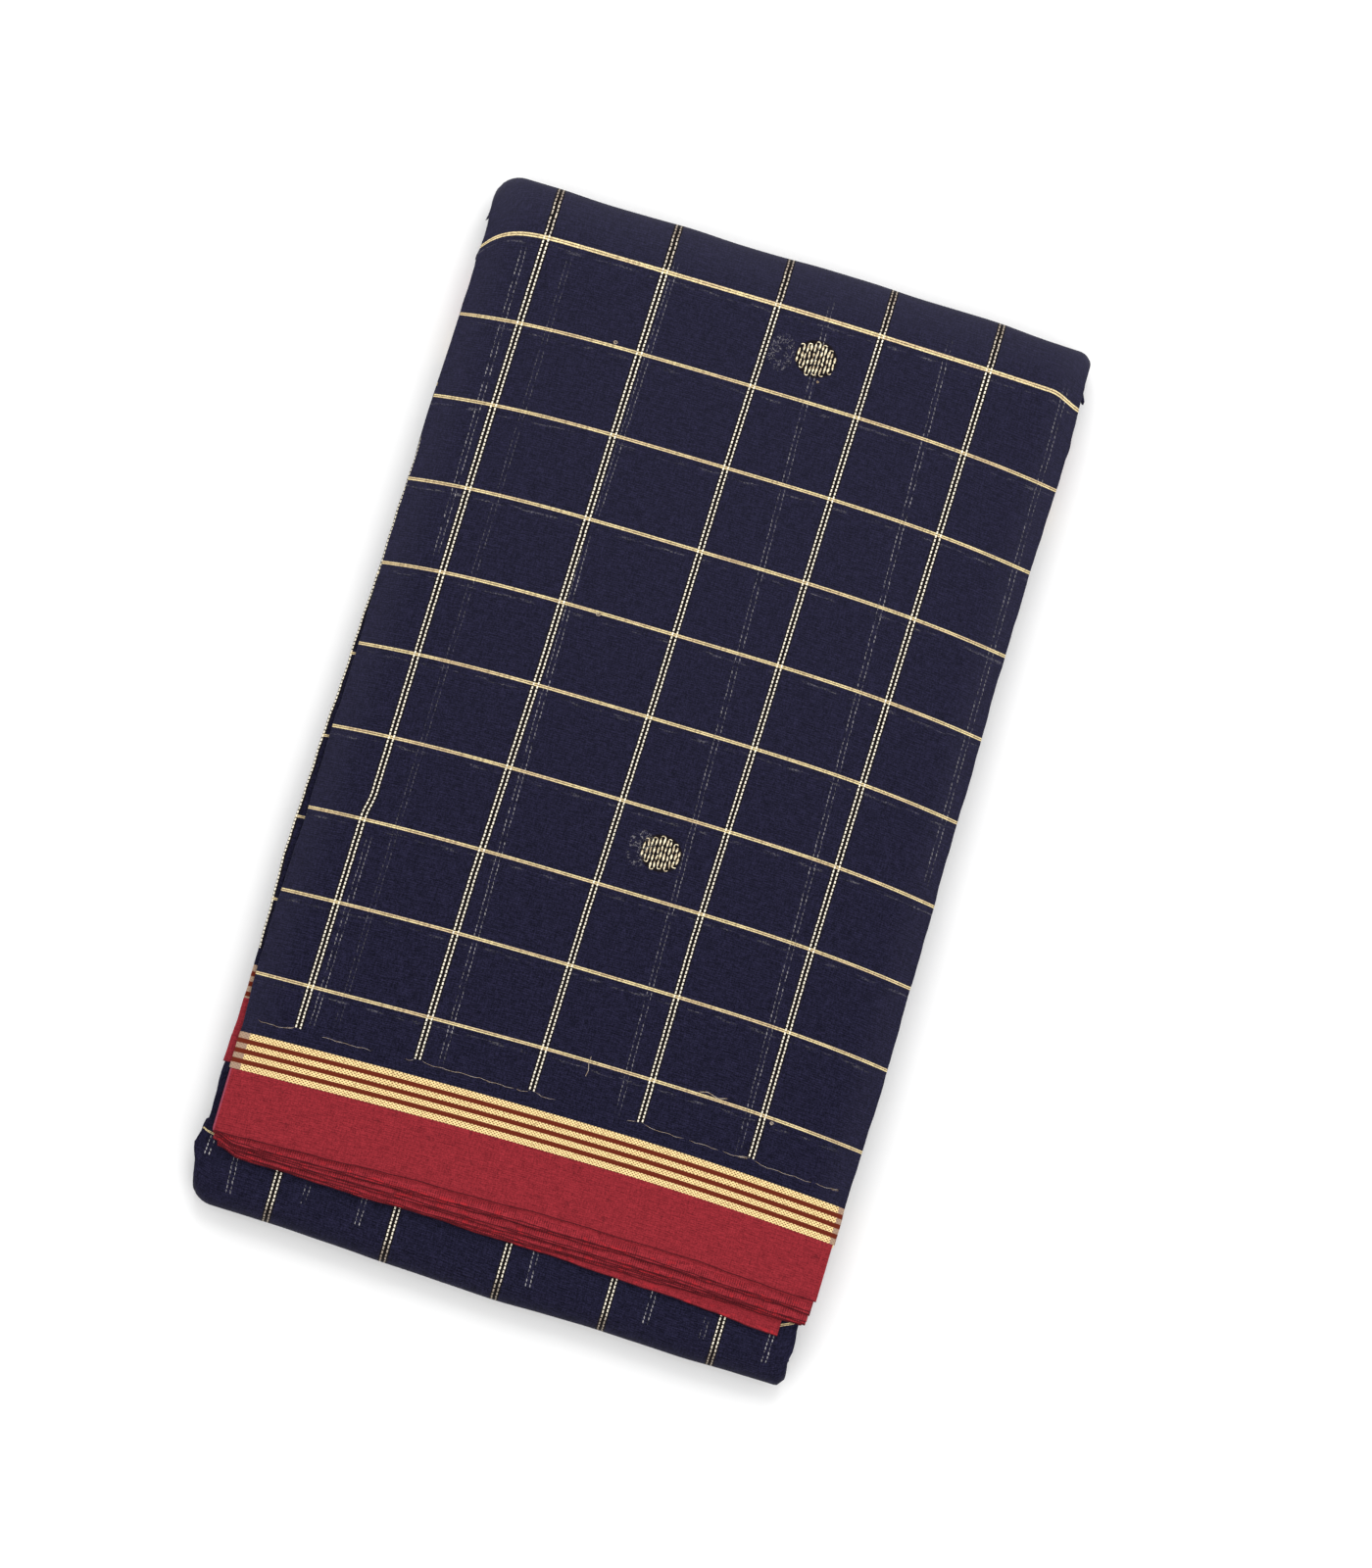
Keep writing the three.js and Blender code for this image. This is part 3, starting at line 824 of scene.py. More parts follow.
def faint_line_group():
    """A broken double line of a lap beneath that shows dimly through the cloth."""
    places = (("X", 0.0), ("Y", 0.0), ("Foot X", 0.0), ("Head X", 0.0))
    inputs = (*places, ("From", -120.0), ("To", 180.0), ("Strength", 1.0))
    g, given, close = new_group("Faint line", inputs, ("Mask",))
    reach = given["To"] - given["From"]
    share = (given["Y"] - given["From"]) / reach
    line = given["Foot X"] + (given["Head X"] - given["Foot X"]) * share
    away = g.math("ABSOLUTE", given["X"] - line)
    body = g.close_to(away, 0.80, 0.28, 0.12)
    phase = g.math("PINGPONG", given["Y"] + given["X"], 0.80)
    dash = g.ramp(phase, 0.22, 0.42)
    patch = g.noise(g.combine(given["X"] * 2.5, given["Y"] * 0.3), 1.0, 3.0)
    patch = g.ramp(patch, 0.42, 0.62)
    ends = g.ramp(share, 0.0, 0.05) * g.ramp(share, 1.0, 0.95)
    mask = body * dash * (patch * ends)
    return close(Mask=mask * given["Strength"])


def faint_coin_group():
    """Broken flecks of a round motif on the lap beneath."""
    inputs = (("X", 0.0), ("Y", 0.0), ("Centre X", 0.0), ("Centre Y", 0.0), ("Radius", 6.8))
    g, given, close = new_group("Faint coin", inputs, ("Mask",))
    dx = given["X"] - given["Centre X"]
    dy = given["Y"] - given["Centre Y"]
    wide = dx * 1.4
    away = g.math("SQRT", wide * wide + dy * dy)
    inside = g.ramp(away / given["Radius"], 1.05, 0.92)
    place = g.combine(dx + given["Centre Y"], dy)
    curl = g.noise(place, 0.62, 1.0, 0.4)
    line = g.close_to(curl, 0.5, 0.035, 0.012)
    second = g.close_to(curl, 0.62, 0.03, 0.01)
    flecks = g.ramp(g.noise(place, 1.4, 2.0, 0.6), 0.44, 0.56)
    broken = flecks * g.ramp(g.noise(place, 0.3, 1.0), 0.4, 0.55)
    return close(Mask=inside * (g.math("MAXIMUM", line, second) * broken))


def coin_shade_group():
    """Painted shade on the cloth under and close round a raised coin motif."""
    places = (("X", 0.0), ("Y", 0.0), ("Centre X", 0.0), ("Centre Y", 0.0))
    inputs = (*places, ("Radius X", 7.6), ("Radius Y", 6.7))
    g, given, close = new_group("Coin shade", inputs, ("Mask",))
    dx = (given["X"] - given["Centre X"]) / given["Radius X"]
    dy = (given["Y"] - given["Centre Y"]) / given["Radius Y"]
    away = g.math("SQRT", dx * dx + dy * dy)
    return close(Mask=g.ramp(away, 1.06, 0.94, 0.0, 0.9))


def band_group():
    """Four gold stripes with three thin dark lines between them, from the coordinate into the border."""
    inputs = (("Into", 0.0), ("Across", 0.0), ("Length", BAND_START - BAND_END))
    g, given, close = new_group("Zari band", inputs, ("Line", "Rib", "Tarnish"))
    pitch = (given["Length"] + 1.05) / 4.0
    shifted = given["Into"] + 0.525
    fray = g.noise(g.combine(given["Across"] * 1.4, given["Into"]), 1.0, 1.0)
    shifted = shifted + (fray - 0.5) * 0.16
    away = g.math("PINGPONG", shifted, pitch * 0.5)
    inner = g.ramp(given["Into"], 0.8, 1.2) * g.ramp(given["Into"], 12.7, 12.3)
    line = g.ramp(away, 0.98, 0.72) * inner
    uneven = g.noise(g.combine(given["Across"] * 2.2, given["Into"] * 0.5), 1.0, 2.0)
    picks = g.math("SINE", given["Across"] * (FULL_TURN / 1.30))
    beats = g.math("SINE", given["Into"] * (FULL_TURN / 1.10))
    weave = 0.5 + picks * beats * 0.5
    rib = g.ramp(weave, 0.22, 0.52) * g.ramp(uneven, 0.3, 0.55, 0.7, 1.0)
    tarnish = g.noise(g.combine(given["Across"] * 1.2, given["Into"] * 1.0), 1.0, 3.0, 0.75)
    return close(Line=line, Rib=rib, Tarnish=tarnish)


NAVY_DARK = (0.0, 0.0, 0.0040, 1.0)
NAVY_LIGHT = (0.0225, 0.0204, 0.0550, 1.0)
# Painted light: a paler navy for the top cloth towards its head, its sides and the head fold's rim.
NAVY_PAINTED_LIGHT = (0.0330, 0.0320, 0.0560, 1.0)
# Painted shade round the raised weft threads and the coins.
SHADE_BROWN = (0.0045, 0.0022, 0.0020, 1.0)
WEFT_GOLD = (1.0, 0.92, 0.75, 1.0)
WARP_GOLD = (1.0, 0.84, 0.45, 1.0)
# The warp's dark tone between its threads, which also serves as its painted shade over the folds.
WARP_DARK_AND_SHADE = (0.11, 0.065, 0.035, 1.0)
WARP_WORN = (0.66, 0.46, 0.30, 1.0)
WARP_WORN_DARK = (0.26, 0.17, 0.09, 1.0)
# The weft's painted shade over the folds.
WEFT_PAINTED_SHADE = (0.20, 0.14, 0.11, 1.0)
BAND_GOLD = (1.0, 0.755, 0.368, 1.0)
BAND_DULL = (0.290, 0.160, 0.048, 1.0)
BAND_GAP = (0.130, 0.060, 0.016, 1.0)
# Painted shade for the band's ends over the side folds.
BAND_END_SHADE = (0.28, 0.18, 0.145, 1.0)
BAND_LINE = (0.118, 0.0155, 0.0058, 1.0)
RED_DARK = (0.095, 0.0050, 0.0090, 1.0)
RED_LIGHT = (0.345, 0.0270, 0.0370, 1.0)
# Red for the stitched marks near a selvedge, also the painted shade in creases and along each selvedge.
RED_STITCH_AND_SHADE = (0.060, 0.0050, 0.0085, 1.0)
# Painted light: brighter reds for the laps beneath.
LAP_RED_PAINTED_LIGHT = (0.640, 0.0520, 0.0700, 1.0)
LAP_RED_DARK_PAINTED_LIGHT = (0.200, 0.0130, 0.0210, 1.0)
# A painted sheen for the rolled left hem.
RED_HEM_SHEEN = (0.300, 0.0750, 0.1250, 1.0)
# Painted highlights where a lap's rim curls up.
RED_PAINTED_HIGHLIGHT = (0.560, 0.0240, 0.0330, 1.0)
COIN_GOLD = (1.0, 0.90, 0.64, 1.0)
FAINT_GREY = (0.42, 0.40, 0.40, 1.0)
LOOSE_THREAD = (0.42, 0.36, 0.30, 1.0)


def new_material(name, sheen):
    material = bpy.data.materials.new(name)
    material.use_nodes = True
    graph = Graph(material.node_tree)
    output = graph.node("ShaderNodeOutputMaterial")
    shader = graph.node("ShaderNodeBsdfPrincipled")
    material.node_tree.links.new(shader.outputs[0], output.inputs["Surface"])
    shader.inputs["Sheen Weight"].default_value = sheen
    shader.inputs["Sheen Roughness"].default_value = 0.5
    shader.inputs["Specular IOR Level"].default_value = 0.10
    return material, graph, shader


def bump(graph, height, strength, distance):
    node = graph.node("ShaderNodeBump")
    node.inputs["Strength"].default_value = strength
    node.inputs["Distance"].default_value = distance
    graph.feed(node.inputs["Height"], height)
    return Value(graph, node.outputs[0])


def faint_lines(g, group, rows, x, y):
    """The strongest of a table's faint lines at each place."""
    mask = 0.0
    for row in rows:
        mask = g.math("MAXIMUM", mask, g.group(group, X=x, Y=y, **row)["Mask"])
    return mask


def field_material(groups, faint):
    """Navy cotton with the gold check; the top panel also shows the laps beneath."""
    own = bpy.context.scene.saree
    material, g, shader = new_material("Navy field top" if faint else "Navy field", 0.02)
    across, along, into = g.attribute("cloth")
    weave = g.group(groups["weave"], Across=across, Along=along)
    pair = g.group(groups["pair"], Across=across, Along=along)
    x, y, turn = g.attribute("place")
    width = g.ramp(y, 150.0, 172.0, 0.62, 0.78) if faint else 0.5
    line = g.group(groups["ribbed"], Across=along, Along=across, Width=width)
    woven = g.ramp(into, -WEFT_END + 0.15, -WEFT_END - 0.15)
    weft = pair["Thread"] * woven
    shade = pair["Shade"] * woven * 0.95
    tint = g.math("POWER", weave["Tint"], 1.6)
    colour = g.mix(tint, own.navy_dark, own.navy_light)
    mask = faint_lines(g, groups["faint_line"], FAINT_LINES if faint else FOOT_FAINT_LINES, x, y)
    if faint:
        side, _, _ = g.attribute("rim")
        # Painted light: the navy is made paler towards the head, near the side folds and most over the head
        # fold's rim.
        painted_light = g.ramp(y, -160.0, 185.0) * 0.13
        painted_light = painted_light + g.ramp(side, 16.0, 2.0) * 0.15
        painted_light = painted_light + g.ramp(y, 172.0, 190.0) * 0.18
        colour = g.mix(painted_light, colour, NAVY_PAINTED_LIGHT)
        for row in COINS:
            # Painted shade round each raised coin.
            part = g.group(groups["coin_shade"], X=x, Y=y, Centre_X=row["x"], Centre_Y=row["y"])
            colour = g.mix(part["Mask"], colour, SHADE_BROWN)
        for row in FAINT_COINS:
            part = g.group(groups["faint_coin"], X=x, Y=y, Centre_X=row["x"], Centre_Y=row["y"])
            mask = g.math("MAXIMUM", mask, part["Mask"] * 0.5)
        below = g.math("PINGPONG", along + 2.9, WARP_SPACING / 2)
        patch = g.ramp(g.noise(g.combine(across * 0.16, along), 1.0, 3.0), 0.48, 0.7)
        stipple = g.noise(g.combine(across * 1.4, along * 2.0), 1.0, 2.0)
        stipple = g.ramp(stipple, 0.42, 0.58)
        ghost = g.ramp(below, 0.75, 0.2) * (patch * stipple * 0.26)
        mask = g.math("MAXIMUM", mask, ghost)
    colour = g.mix(mask * 0.8, colour, FAINT_GREY)
    # Painted shade along and between the raised weft threads.
    colour = g.mix(shade, colour, SHADE_BROWN)
    warp = line["Thread"] * line["Tone"]
    # Painted shade: the gold threads darken where the cloth turns away round a thick fold, and the weft also
    # just before the head's rim.
    shaded = g.ramp(turn, 0.0, 0.6, 0.0, 0.78)
    weft_shade = g.math("MAXIMUM", shaded, g.ramp(y, 173.0, 181.0, 0.0, 0.5)) if faint else shaded
    bright = g.mix(line["Worn"] * 0.55, own.warp_gold, WARP_WORN)
    bright = g.mix(shaded, bright, WARP_DARK_AND_SHADE)
    colour = g.mix(line["Thread"], colour, g.mix(line["Tone"], WARP_DARK_AND_SHADE, bright))
    colour = g.mix(weft, colour, g.mix(weft_shade, own.weft_gold, WEFT_PAINTED_SHADE))
    gold = g.math("MAXIMUM", weft, warp)
    g.feed(shader.inputs["Base Color"], colour)
    g.feed(shader.inputs["Metallic"], gold * 0.2)
    g.feed(shader.inputs["Roughness"], g.ramp(gold, 0.0, 1.0, 0.86, 0.42))
    relief = g.math("MAXIMUM", pair["Height"] * woven, line["Height"])
    height = weave["Height"] * 0.35 + relief
    g.feed(shader.inputs["Normal"], bump(g, height, 0.55, 0.00022))
    return material


def band_material(groups):
    own = bpy.context.scene.saree
    material, g, shader = new_material("Zari band", 0.0)
    across, _, into = g.attribute("cloth")
    band = g.group(groups["band"], Into=into, Across=across)
    gold = g.mix(g.ramp(band["Tarnish"], 0.48, 0.66) * 0.6, own.band_gold, BAND_DULL)
    gold = g.mix((1.0 - band["Rib"]) * 0.92, gold, BAND_GAP)
    # Painted shade: the band darkens towards its ends, where it turns over the side folds.
    rim, _, _ = g.attribute("rim")
    reach = g.ramp(across, -1.0, 1.0, 3.9, 2.1)
    end_shade = g.ramp(rim - reach, 0.2, -0.2) * 0.85
    gold = g.mix(end_shade, gold, BAND_END_SHADE)
    g.feed(shader.inputs["Base Color"], g.mix(band["Line"], gold, own.band_line))
    metal = 1.0 - band["Line"]
    g.feed(shader.inputs["Metallic"], metal * 0.3)
    g.feed(shader.inputs["Roughness"], g.ramp(metal, 0.0, 1.0, 0.85, 0.5))
    height = (band["Rib"] + 0.4) * metal
    g.feed(shader.inputs["Normal"], bump(g, height, 0.5, 0.00015))
    return material


def red_material(groups):
    """Red cotton with a ribbed selvedge, with painted shade in its small creases and along each selvedge, and
    painted light on its lower laps, its curled rims and its rolled left hem.
    """
    own = bpy.context.scene.saree
    material, g, shader = new_material("Red border", 0.02)
    across, along, into = g.attribute("cloth")
    weave = g.group(groups["weave"], Across=across, Along=along, Thread=0.5)
    colour = g.mix(weave["Tint"], own.red_dark, own.red_light)
    side, from_edge, shown = g.attribute("rim")
    below = g.ramp(into, -0.5, -1.0) * g.ramp(into, -3.9, -3.4, 0.25, 1.0)
    # Painted light: the laps beneath get a brighter red against the shade of the laps above them.
    colour = g.mix(below * 0.42, colour, g.mix(weave["Tint"], LAP_RED_DARK_PAINTED_LIGHT, LAP_RED_PAINTED_LIGHT))
    pick = g.ramp(g.math("PINGPONG", across, 0.42), 0.12, 0.34)
    patch = g.noise(g.combine(across * 0.2, along * 0.45), 1.0, 2.0, 0.6)
    stitched = g.ramp(from_edge, 3.6, 2.8) * g.ramp(patch, 0.40, 0.56, 0.35, 1.0)
    stitched = stitched * (0.12 + below * 0.88)
    dark = stitched * (1.0 - pick) * 0.70
    colour = g.mix(dark, colour, RED_STITCH_AND_SHADE)
    # Painted shade in small creases.
    crease = g.noise(g.combine(across * 0.35 + along, across), 0.22, 5.0, 0.7)
    colour = g.mix(g.ramp(crease, 0.58, 0.72) * 0.4, colour, RED_STITCH_AND_SHADE)
    # Painted highlights in patches where a lower lap's rim lifts.
    curl_highlight = shown * g.ramp(patch, 0.55, 0.62) * 0.55
    colour = g.mix(curl_highlight, colour, RED_PAINTED_HIGHLIGHT)
    # Painted shade: a thin dark line along each lap's selvedge, where it steps down to the lap beneath.
    hem_shade = g.ramp(from_edge, 0.44, 0.26)
    colour = g.mix(hem_shade * 0.90, colour, RED_STITCH_AND_SHADE)
    # A painted sheen line along the rounded left hem of the top border.
    rolled_sheen = g.close_to(side, 0.45, 0.5, 0.15)
    colour = g.mix(rolled_sheen * 0.6, colour, RED_HEM_SHEEN)
    g.feed(shader.inputs["Base Color"], colour)
    shader.inputs["Roughness"].default_value = 0.88
    height = weave["Height"] * 0.5 + stitched * pick
    height = height - g.ramp(crease, 0.58, 0.72)
    g.feed(shader.inputs["Normal"], bump(g, height, 0.7, 0.00022))
    return material


def fold_material(groups):
    """The side folds of the hidden laps: navy with gold ticks, gold and red towards the two selvedges."""
    own = bpy.context.scene.saree
    material, g, shader = new_material("Lap folds", 0.02)
    across, along, into = g.attribute("cloth")
    weave = g.group(groups["weave"], Across=across, Along=along)
    line = g.group(groups["ribbed"], Across=along, Along=across)
    band = g.group(groups["band"], Into=into, Across=along)
    in_band = g.ramp(into, -0.1, 0.1) * g.ramp(into, 13.6, 13.4)
    in_red = g.ramp(into, 13.4, 13.6)
    colour = g.mix(weave["Tint"], own.navy_dark, own.navy_light)
    in_field = 1.0 - g.math("MAXIMUM", in_band, in_red)
    tick = line["Thread"] * in_field
    colour = g.mix(tick, colour, g.mix(line["Tone"], WARP_DARK_AND_SHADE, own.warp_gold))
    colour = g.mix(in_band, colour, g.mix(band["Line"], own.band_gold, own.band_line))
    red = g.mix(weave["Tint"], own.red_dark, own.red_light)
    g.feed(shader.inputs["Base Color"], g.mix(in_red, colour, red))
    gold = g.math("MAXIMUM", tick, in_band * (1.0 - band["Line"]))
    g.feed(shader.inputs["Metallic"], gold * 0.3)
    g.feed(shader.inputs["Roughness"], g.ramp(gold, 0.0, 1.0, 0.86, 0.5))
    g.feed(shader.inputs["Normal"], bump(g, weave["Height"], 0.4, 0.00015))
    return material


def zari_material(name, colour, metallic):
    """Gold thread with duller stretches along it."""
    material, g, shader = new_material(name, 0.0)
    place = Value(g, g.node("ShaderNodeTexCoord").outputs["Object"])
    worn = g.ramp(g.noise(place, 1000.0, 2.0, 0.6), 0.56, 0.42)
    g.feed(shader.inputs["Base Color"], g.mix(worn * 0.75, colour, WARP_WORN_DARK))
    shader.inputs["Metallic"].default_value = metallic
    shader.inputs["Roughness"].default_value = 0.38
    return material


def materials():
    """The scene's materials by name, made on the first call."""
    if "Zari thread" not in bpy.data.materials:
        groups = {
            "pair": thread_pair_group(),
            "ribbed": ribbed_line_group(),
            "weave": weave_group(),
            "faint_line": faint_line_group(),
            "faint_coin": faint_coin_group(),
            "coin_shade": coin_shade_group(),
            "band": band_group(),
        }
        field_material(groups, True)
        field_material(groups, False)
        band_material(groups)
        red_material(groups)
        fold_material(groups)
        zari_material("Zari thread", bpy.context.scene.saree.coin_gold, 0.2)
        zari_material("Loose thread", LOOSE_THREAD, 0.3)
    return bpy.data.materials


# A distance before the band that stands for all of the cloth past the head fold.
ROUND_THE_HEAD = 300.0


def rim_distance(x):
    """How far each point of a wide cloth lies from the nearer side."""
    return edge_distance(x, x.min(axis=1)[:, None], x.max(axis=1)[:, None])


def top_data(strip, x, length, points):
    """Pattern coordinates on the top panel and over its fold."""
    y = points[..., 1]
    flat = strip.panel[:, None] == TOP
    beyond = strip.y >= HEAD_AXIS - 1e-6
    at_axis = length[np.argmax(beyond)][0] if np.any(beyond) else 0.0
    y_axis = np.where(flat, y, HEAD_AXIS)
    along = warp_coordinate(x, np.minimum(y_axis, HEAD_AXIS)) + np.where(flat, 0.0, length - at_axis)
    across = weft_coordinate(x, np.minimum(y_axis, HEAD_AXIS))
    into = np.where(flat, BAND_START - strip.y[:, None], -ROUND_THE_HEAD)
    return {
        "cloth": vectors(across, along, into),
        "place": vectors(x, y, np.abs(strip.normal_y[:, None])),
        "rim": vectors(rim_distance(x), FAR, 0.0),
    }


def flat_size(points):
    """Mean width and length of a grid of points, in metres."""
    width = np.linalg.norm(np.diff(points, axis=1), axis=2).sum(axis=1).mean()
    length = np.linalg.norm(np.diff(points, axis=0), axis=2).sum(axis=0).mean()
    return width * MM, length * MM


def length_setting(name, description, default):
    return bpy.props.FloatProperty(
        name=name,
        description=description,
        default=default,
        min=0.0005,
        max=0.02,
        unit="LENGTH",
        subtype="DISTANCE",
    )


def colour_setting(name, description, default):
    return bpy.props.FloatVectorProperty(
        name=name,
        description=description,
        default=default,
        size=4,
        min=0.0,
        max=1.0,
        subtype="COLOR",
    )


def power_setting(name, description, default):
    return bpy.props.FloatProperty(
        name=name,
        description=description,
        default=default,
        min=0.0,
        max=200.0,
        unit="POWER",
    )


class SareeSettings(bpy.types.PropertyGroup):
    """Fineness of the cloth's mesh, the colours of its threads, and the light."""

    column_step: length_setting("Column step", "Distance between mesh columns across the pack", 0.0018)
    row_step: length_setting("Row step", "Distance between mesh rows along the strip", 0.0022)
    fold_steps: bpy.props.IntProperty(
        name="Fold steps",
        description="Mesh rows round each thick fold",
        default=20,
        min=6,
        max=64,
    )
    navy_dark: colour_setting("Navy, dark threads", "Darkest tone of the field's cotton", NAVY_DARK)
    navy_light: colour_setting("Navy, light threads", "Lightest tone of the field's cotton", NAVY_LIGHT)
    red_dark: colour_setting("Red, dark threads", "Darkest tone of the border's cotton", RED_DARK)
    red_light: colour_setting("Red, light threads", "Lightest tone of the border's cotton", RED_LIGHT)
    weft_gold: colour_setting("Weft gold", "Gold of the dashed double lines along the pack", WEFT_GOLD)
    warp_gold: colour_setting("Warp gold", "Gold of the lines across the pack", WARP_GOLD)
    band_gold: colour_setting("Band gold", "Gold of the four stripes between field and border", BAND_GOLD)
    band_line: colour_setting("Band lines", "The thin dark lines between the gold stripes", BAND_LINE)
    coin_gold: colour_setting("Coin gold", "Gold of the raised coin motifs", COIN_GOLD)
    key_power: power_setting("Key light", "Power of the soft light beyond the pack's head", 14.0)
    fill_power: power_setting("Fill light", "Power of the soft light at the pack's right", 5.0)


# Mesh steps: rows of the two bands, and how much coarser the parts that show less are.
COARSER = 1.6
BAND_ROW = 1.1
UNDER_BAND_ROW = 1.3


def declare(node, flat):
    """Hide the solid that a piece of cloth stands for. Its flat size is not used."""
    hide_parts(node)


def steps():
    settings = bpy.context.scene.saree
    return settings.column_step / MM, settings.row_step / MM, settings.fold_steps


class SAREE_OT_top_cloth(bpy.types.Operator):
    """Build the outermost cloth of the top panel: its field over the head fold, and its gold band"""

    bl_idname = "saree.top_cloth"
    bl_label = "Top cloth"

    def execute(self, context):
        column, row, fold = steps()
        made = materials()
        field_rows = top_rows(BAND_START, HEAD_AXIS, row) + head_fold_rows(fold)
        field_rows += middle_rows(HEAD_AXIS, -BEYOND_LAPS, row)
        band_rows = top_rows(BAND_END, BAND_START, BAND_ROW)
        for name, node, rows, look, slot in (
            ("top_field", "field_top", field_rows, "Navy field top", "navy_cloth"),
            ("top_zari_band", "zari_band_top", band_rows, "Zari band", "zari_band"),
        ):
            strip = Strip(rows)
            x, length, points = wide_cloth(strip, 1, column)
            data = top_data(strip, x, length, points)
            piece = make_piece(name, [(points, data)], made[look], slot, ("cloth", "place", "rim"))
            declare(node, flat_size(points))
        return {"FINISHED"}


def selvedge_piece(lap, k, outer_face, inward, panel, column, material):
    """One red piece of four thin laps, all ending near the same selvedge."""
    start = BAND_END if k == 0 else BEYOND_LAPS
    if panel == BOTTOM:
        start = -start
    kind = "covered" if 0 < k < 4 else "outer"
    pitch = LAP_WALL / SUBLAPS
    near = outer_face + inward * k * (LAP_WALL + LAP_GAP)
    lap = dict(lap, lift=0.7 + 1.9 * k, corner=LAP_CORNERS[kind])
    grids = []
    widths, depths = [], []
    for n, recede in enumerate(RECEDES[kind]):
        level = near + inward * (n + 0.5) * pitch
        seed = 100 * k + 10 * n + panel
        x, y, selvedge, points = lap_slab(lap, level, pitch * LAP_FILL, start, recede, seed, panel, column)
        from_edge = np.abs(selvedge - y)
        from_left = x - lap["left"] if k == 0 else FAR
        # Where a lower lap's rim lifts, which the red material lightens with painted highlights.
        curl = smooth(2.6, 1.4, from_edge) * (k > 0)
        grids.append((points, {"cloth": vectors(x, y, -1.0 * k), "rim": vectors(from_left, from_edge, curl)}))
        width, depth = flat_size(points)
        widths.append(width / 2)
        depths.append(depth)
    name = lap["node"].replace("red_", "red_cloth_").replace("under_lap", "red_cloth_under")
    piece = make_piece(name, grids, material, "red_border", ("cloth", "rim"), flip=panel != TOP, closed=True)
    declare(lap["node"], (sum(widths), sum(depths) / SUBLAPS))


class SAREE_OT_foot_laps(bpy.types.Operator):
    """Build the red border of the top panel and the laps that step out from under it"""

    bl_idname = "saree.foot_laps"
    bl_label = "Foot laps"

    def execute(self, context):
        column, _, _ = steps()
        red = materials()["Red border"]
        for k, lap in enumerate(FOOT_LAPS):
            selvedge_piece(lap, k, TOP_LEVEL + OUTER, -1, TOP, column, red)
        return {"FINISHED"}


class SAREE_OT_head_laps(bpy.types.Operator):
    """Build the red border of the bottom panel and the laps that step out over it"""

    bl_idname = "saree.head_laps"
    bl_label = "Head laps"

    def execute(self, context):
        column, _, _ = steps()
        red = materials()["Red border"]
        for k, lap in enumerate(HEAD_LAPS):
            selvedge_piece(lap, k, 0.0, 1, BOTTOM, column * COARSER, red)
        return {"FINISHED"}


class SAREE_OT_under_cloth(bpy.types.Operator):
    """Build the cloth that comes out at the foot, rounds the foot fold and makes the underside"""

    bl_idname = "saree.under_cloth"
    bl_label = "Under cloth"

    def execute(self, context):
        column, row, fold = steps()
        made = materials()
        strip = Strip(
            middle_rows(FOOT_EMERGES, FOOT_AXIS, row)
            + foot_fold_rows(fold)
            + bottom_rows(FOOT_AXIS, -BAND_START, row * 1.4)
        )
        x, length, points = wide_cloth(strip, -1, column)
        shape = FOOT_WARP_LINE
        line = np.interp(x, (shape["from"], shape["to"]), (shape["left"], shape["right"]))
        line = line + shape["lift"] * np.maximum(0.0, x - shape["to"])
        setback = corner_setback(x, "foot") * (x < 0)
        line = line - setback * (shape["level"] + shape["deepen"] * setback)
        along = length + (line - FOOT_EMERGES)
        left_to_go = length[-1, 0] - length
        data = {
            "cloth": vectors(foot_weft_coordinate(x), along, -left_to_go),
            "place": vectors(x, points[..., 1], np.abs(strip.normal_y[:, None])),
        }
        look = made["Navy field"]
        field = make_piece("under_field", [(points, data)], look, "navy_cloth", ("cloth", "place"), flip=True)
        declare("field_under", flat_size(points))

        strip = Strip(bottom_rows(-BAND_START, -BAND_END, UNDER_BAND_ROW))
        x, length, points = wide_cloth(strip, -1, column * 1.5)
        data = {"cloth": vectors(x, length, length), "rim": vectors(rim_distance(x), FAR, 0.0)}
        look = made["Zari band"]
        band = make_piece("under_zari_band", [(points, data)], look, "zari_band", ("cloth", "rim"), flip=True)
        declare("zari_band_under", flat_size(points))
        return {"FINISHED"}


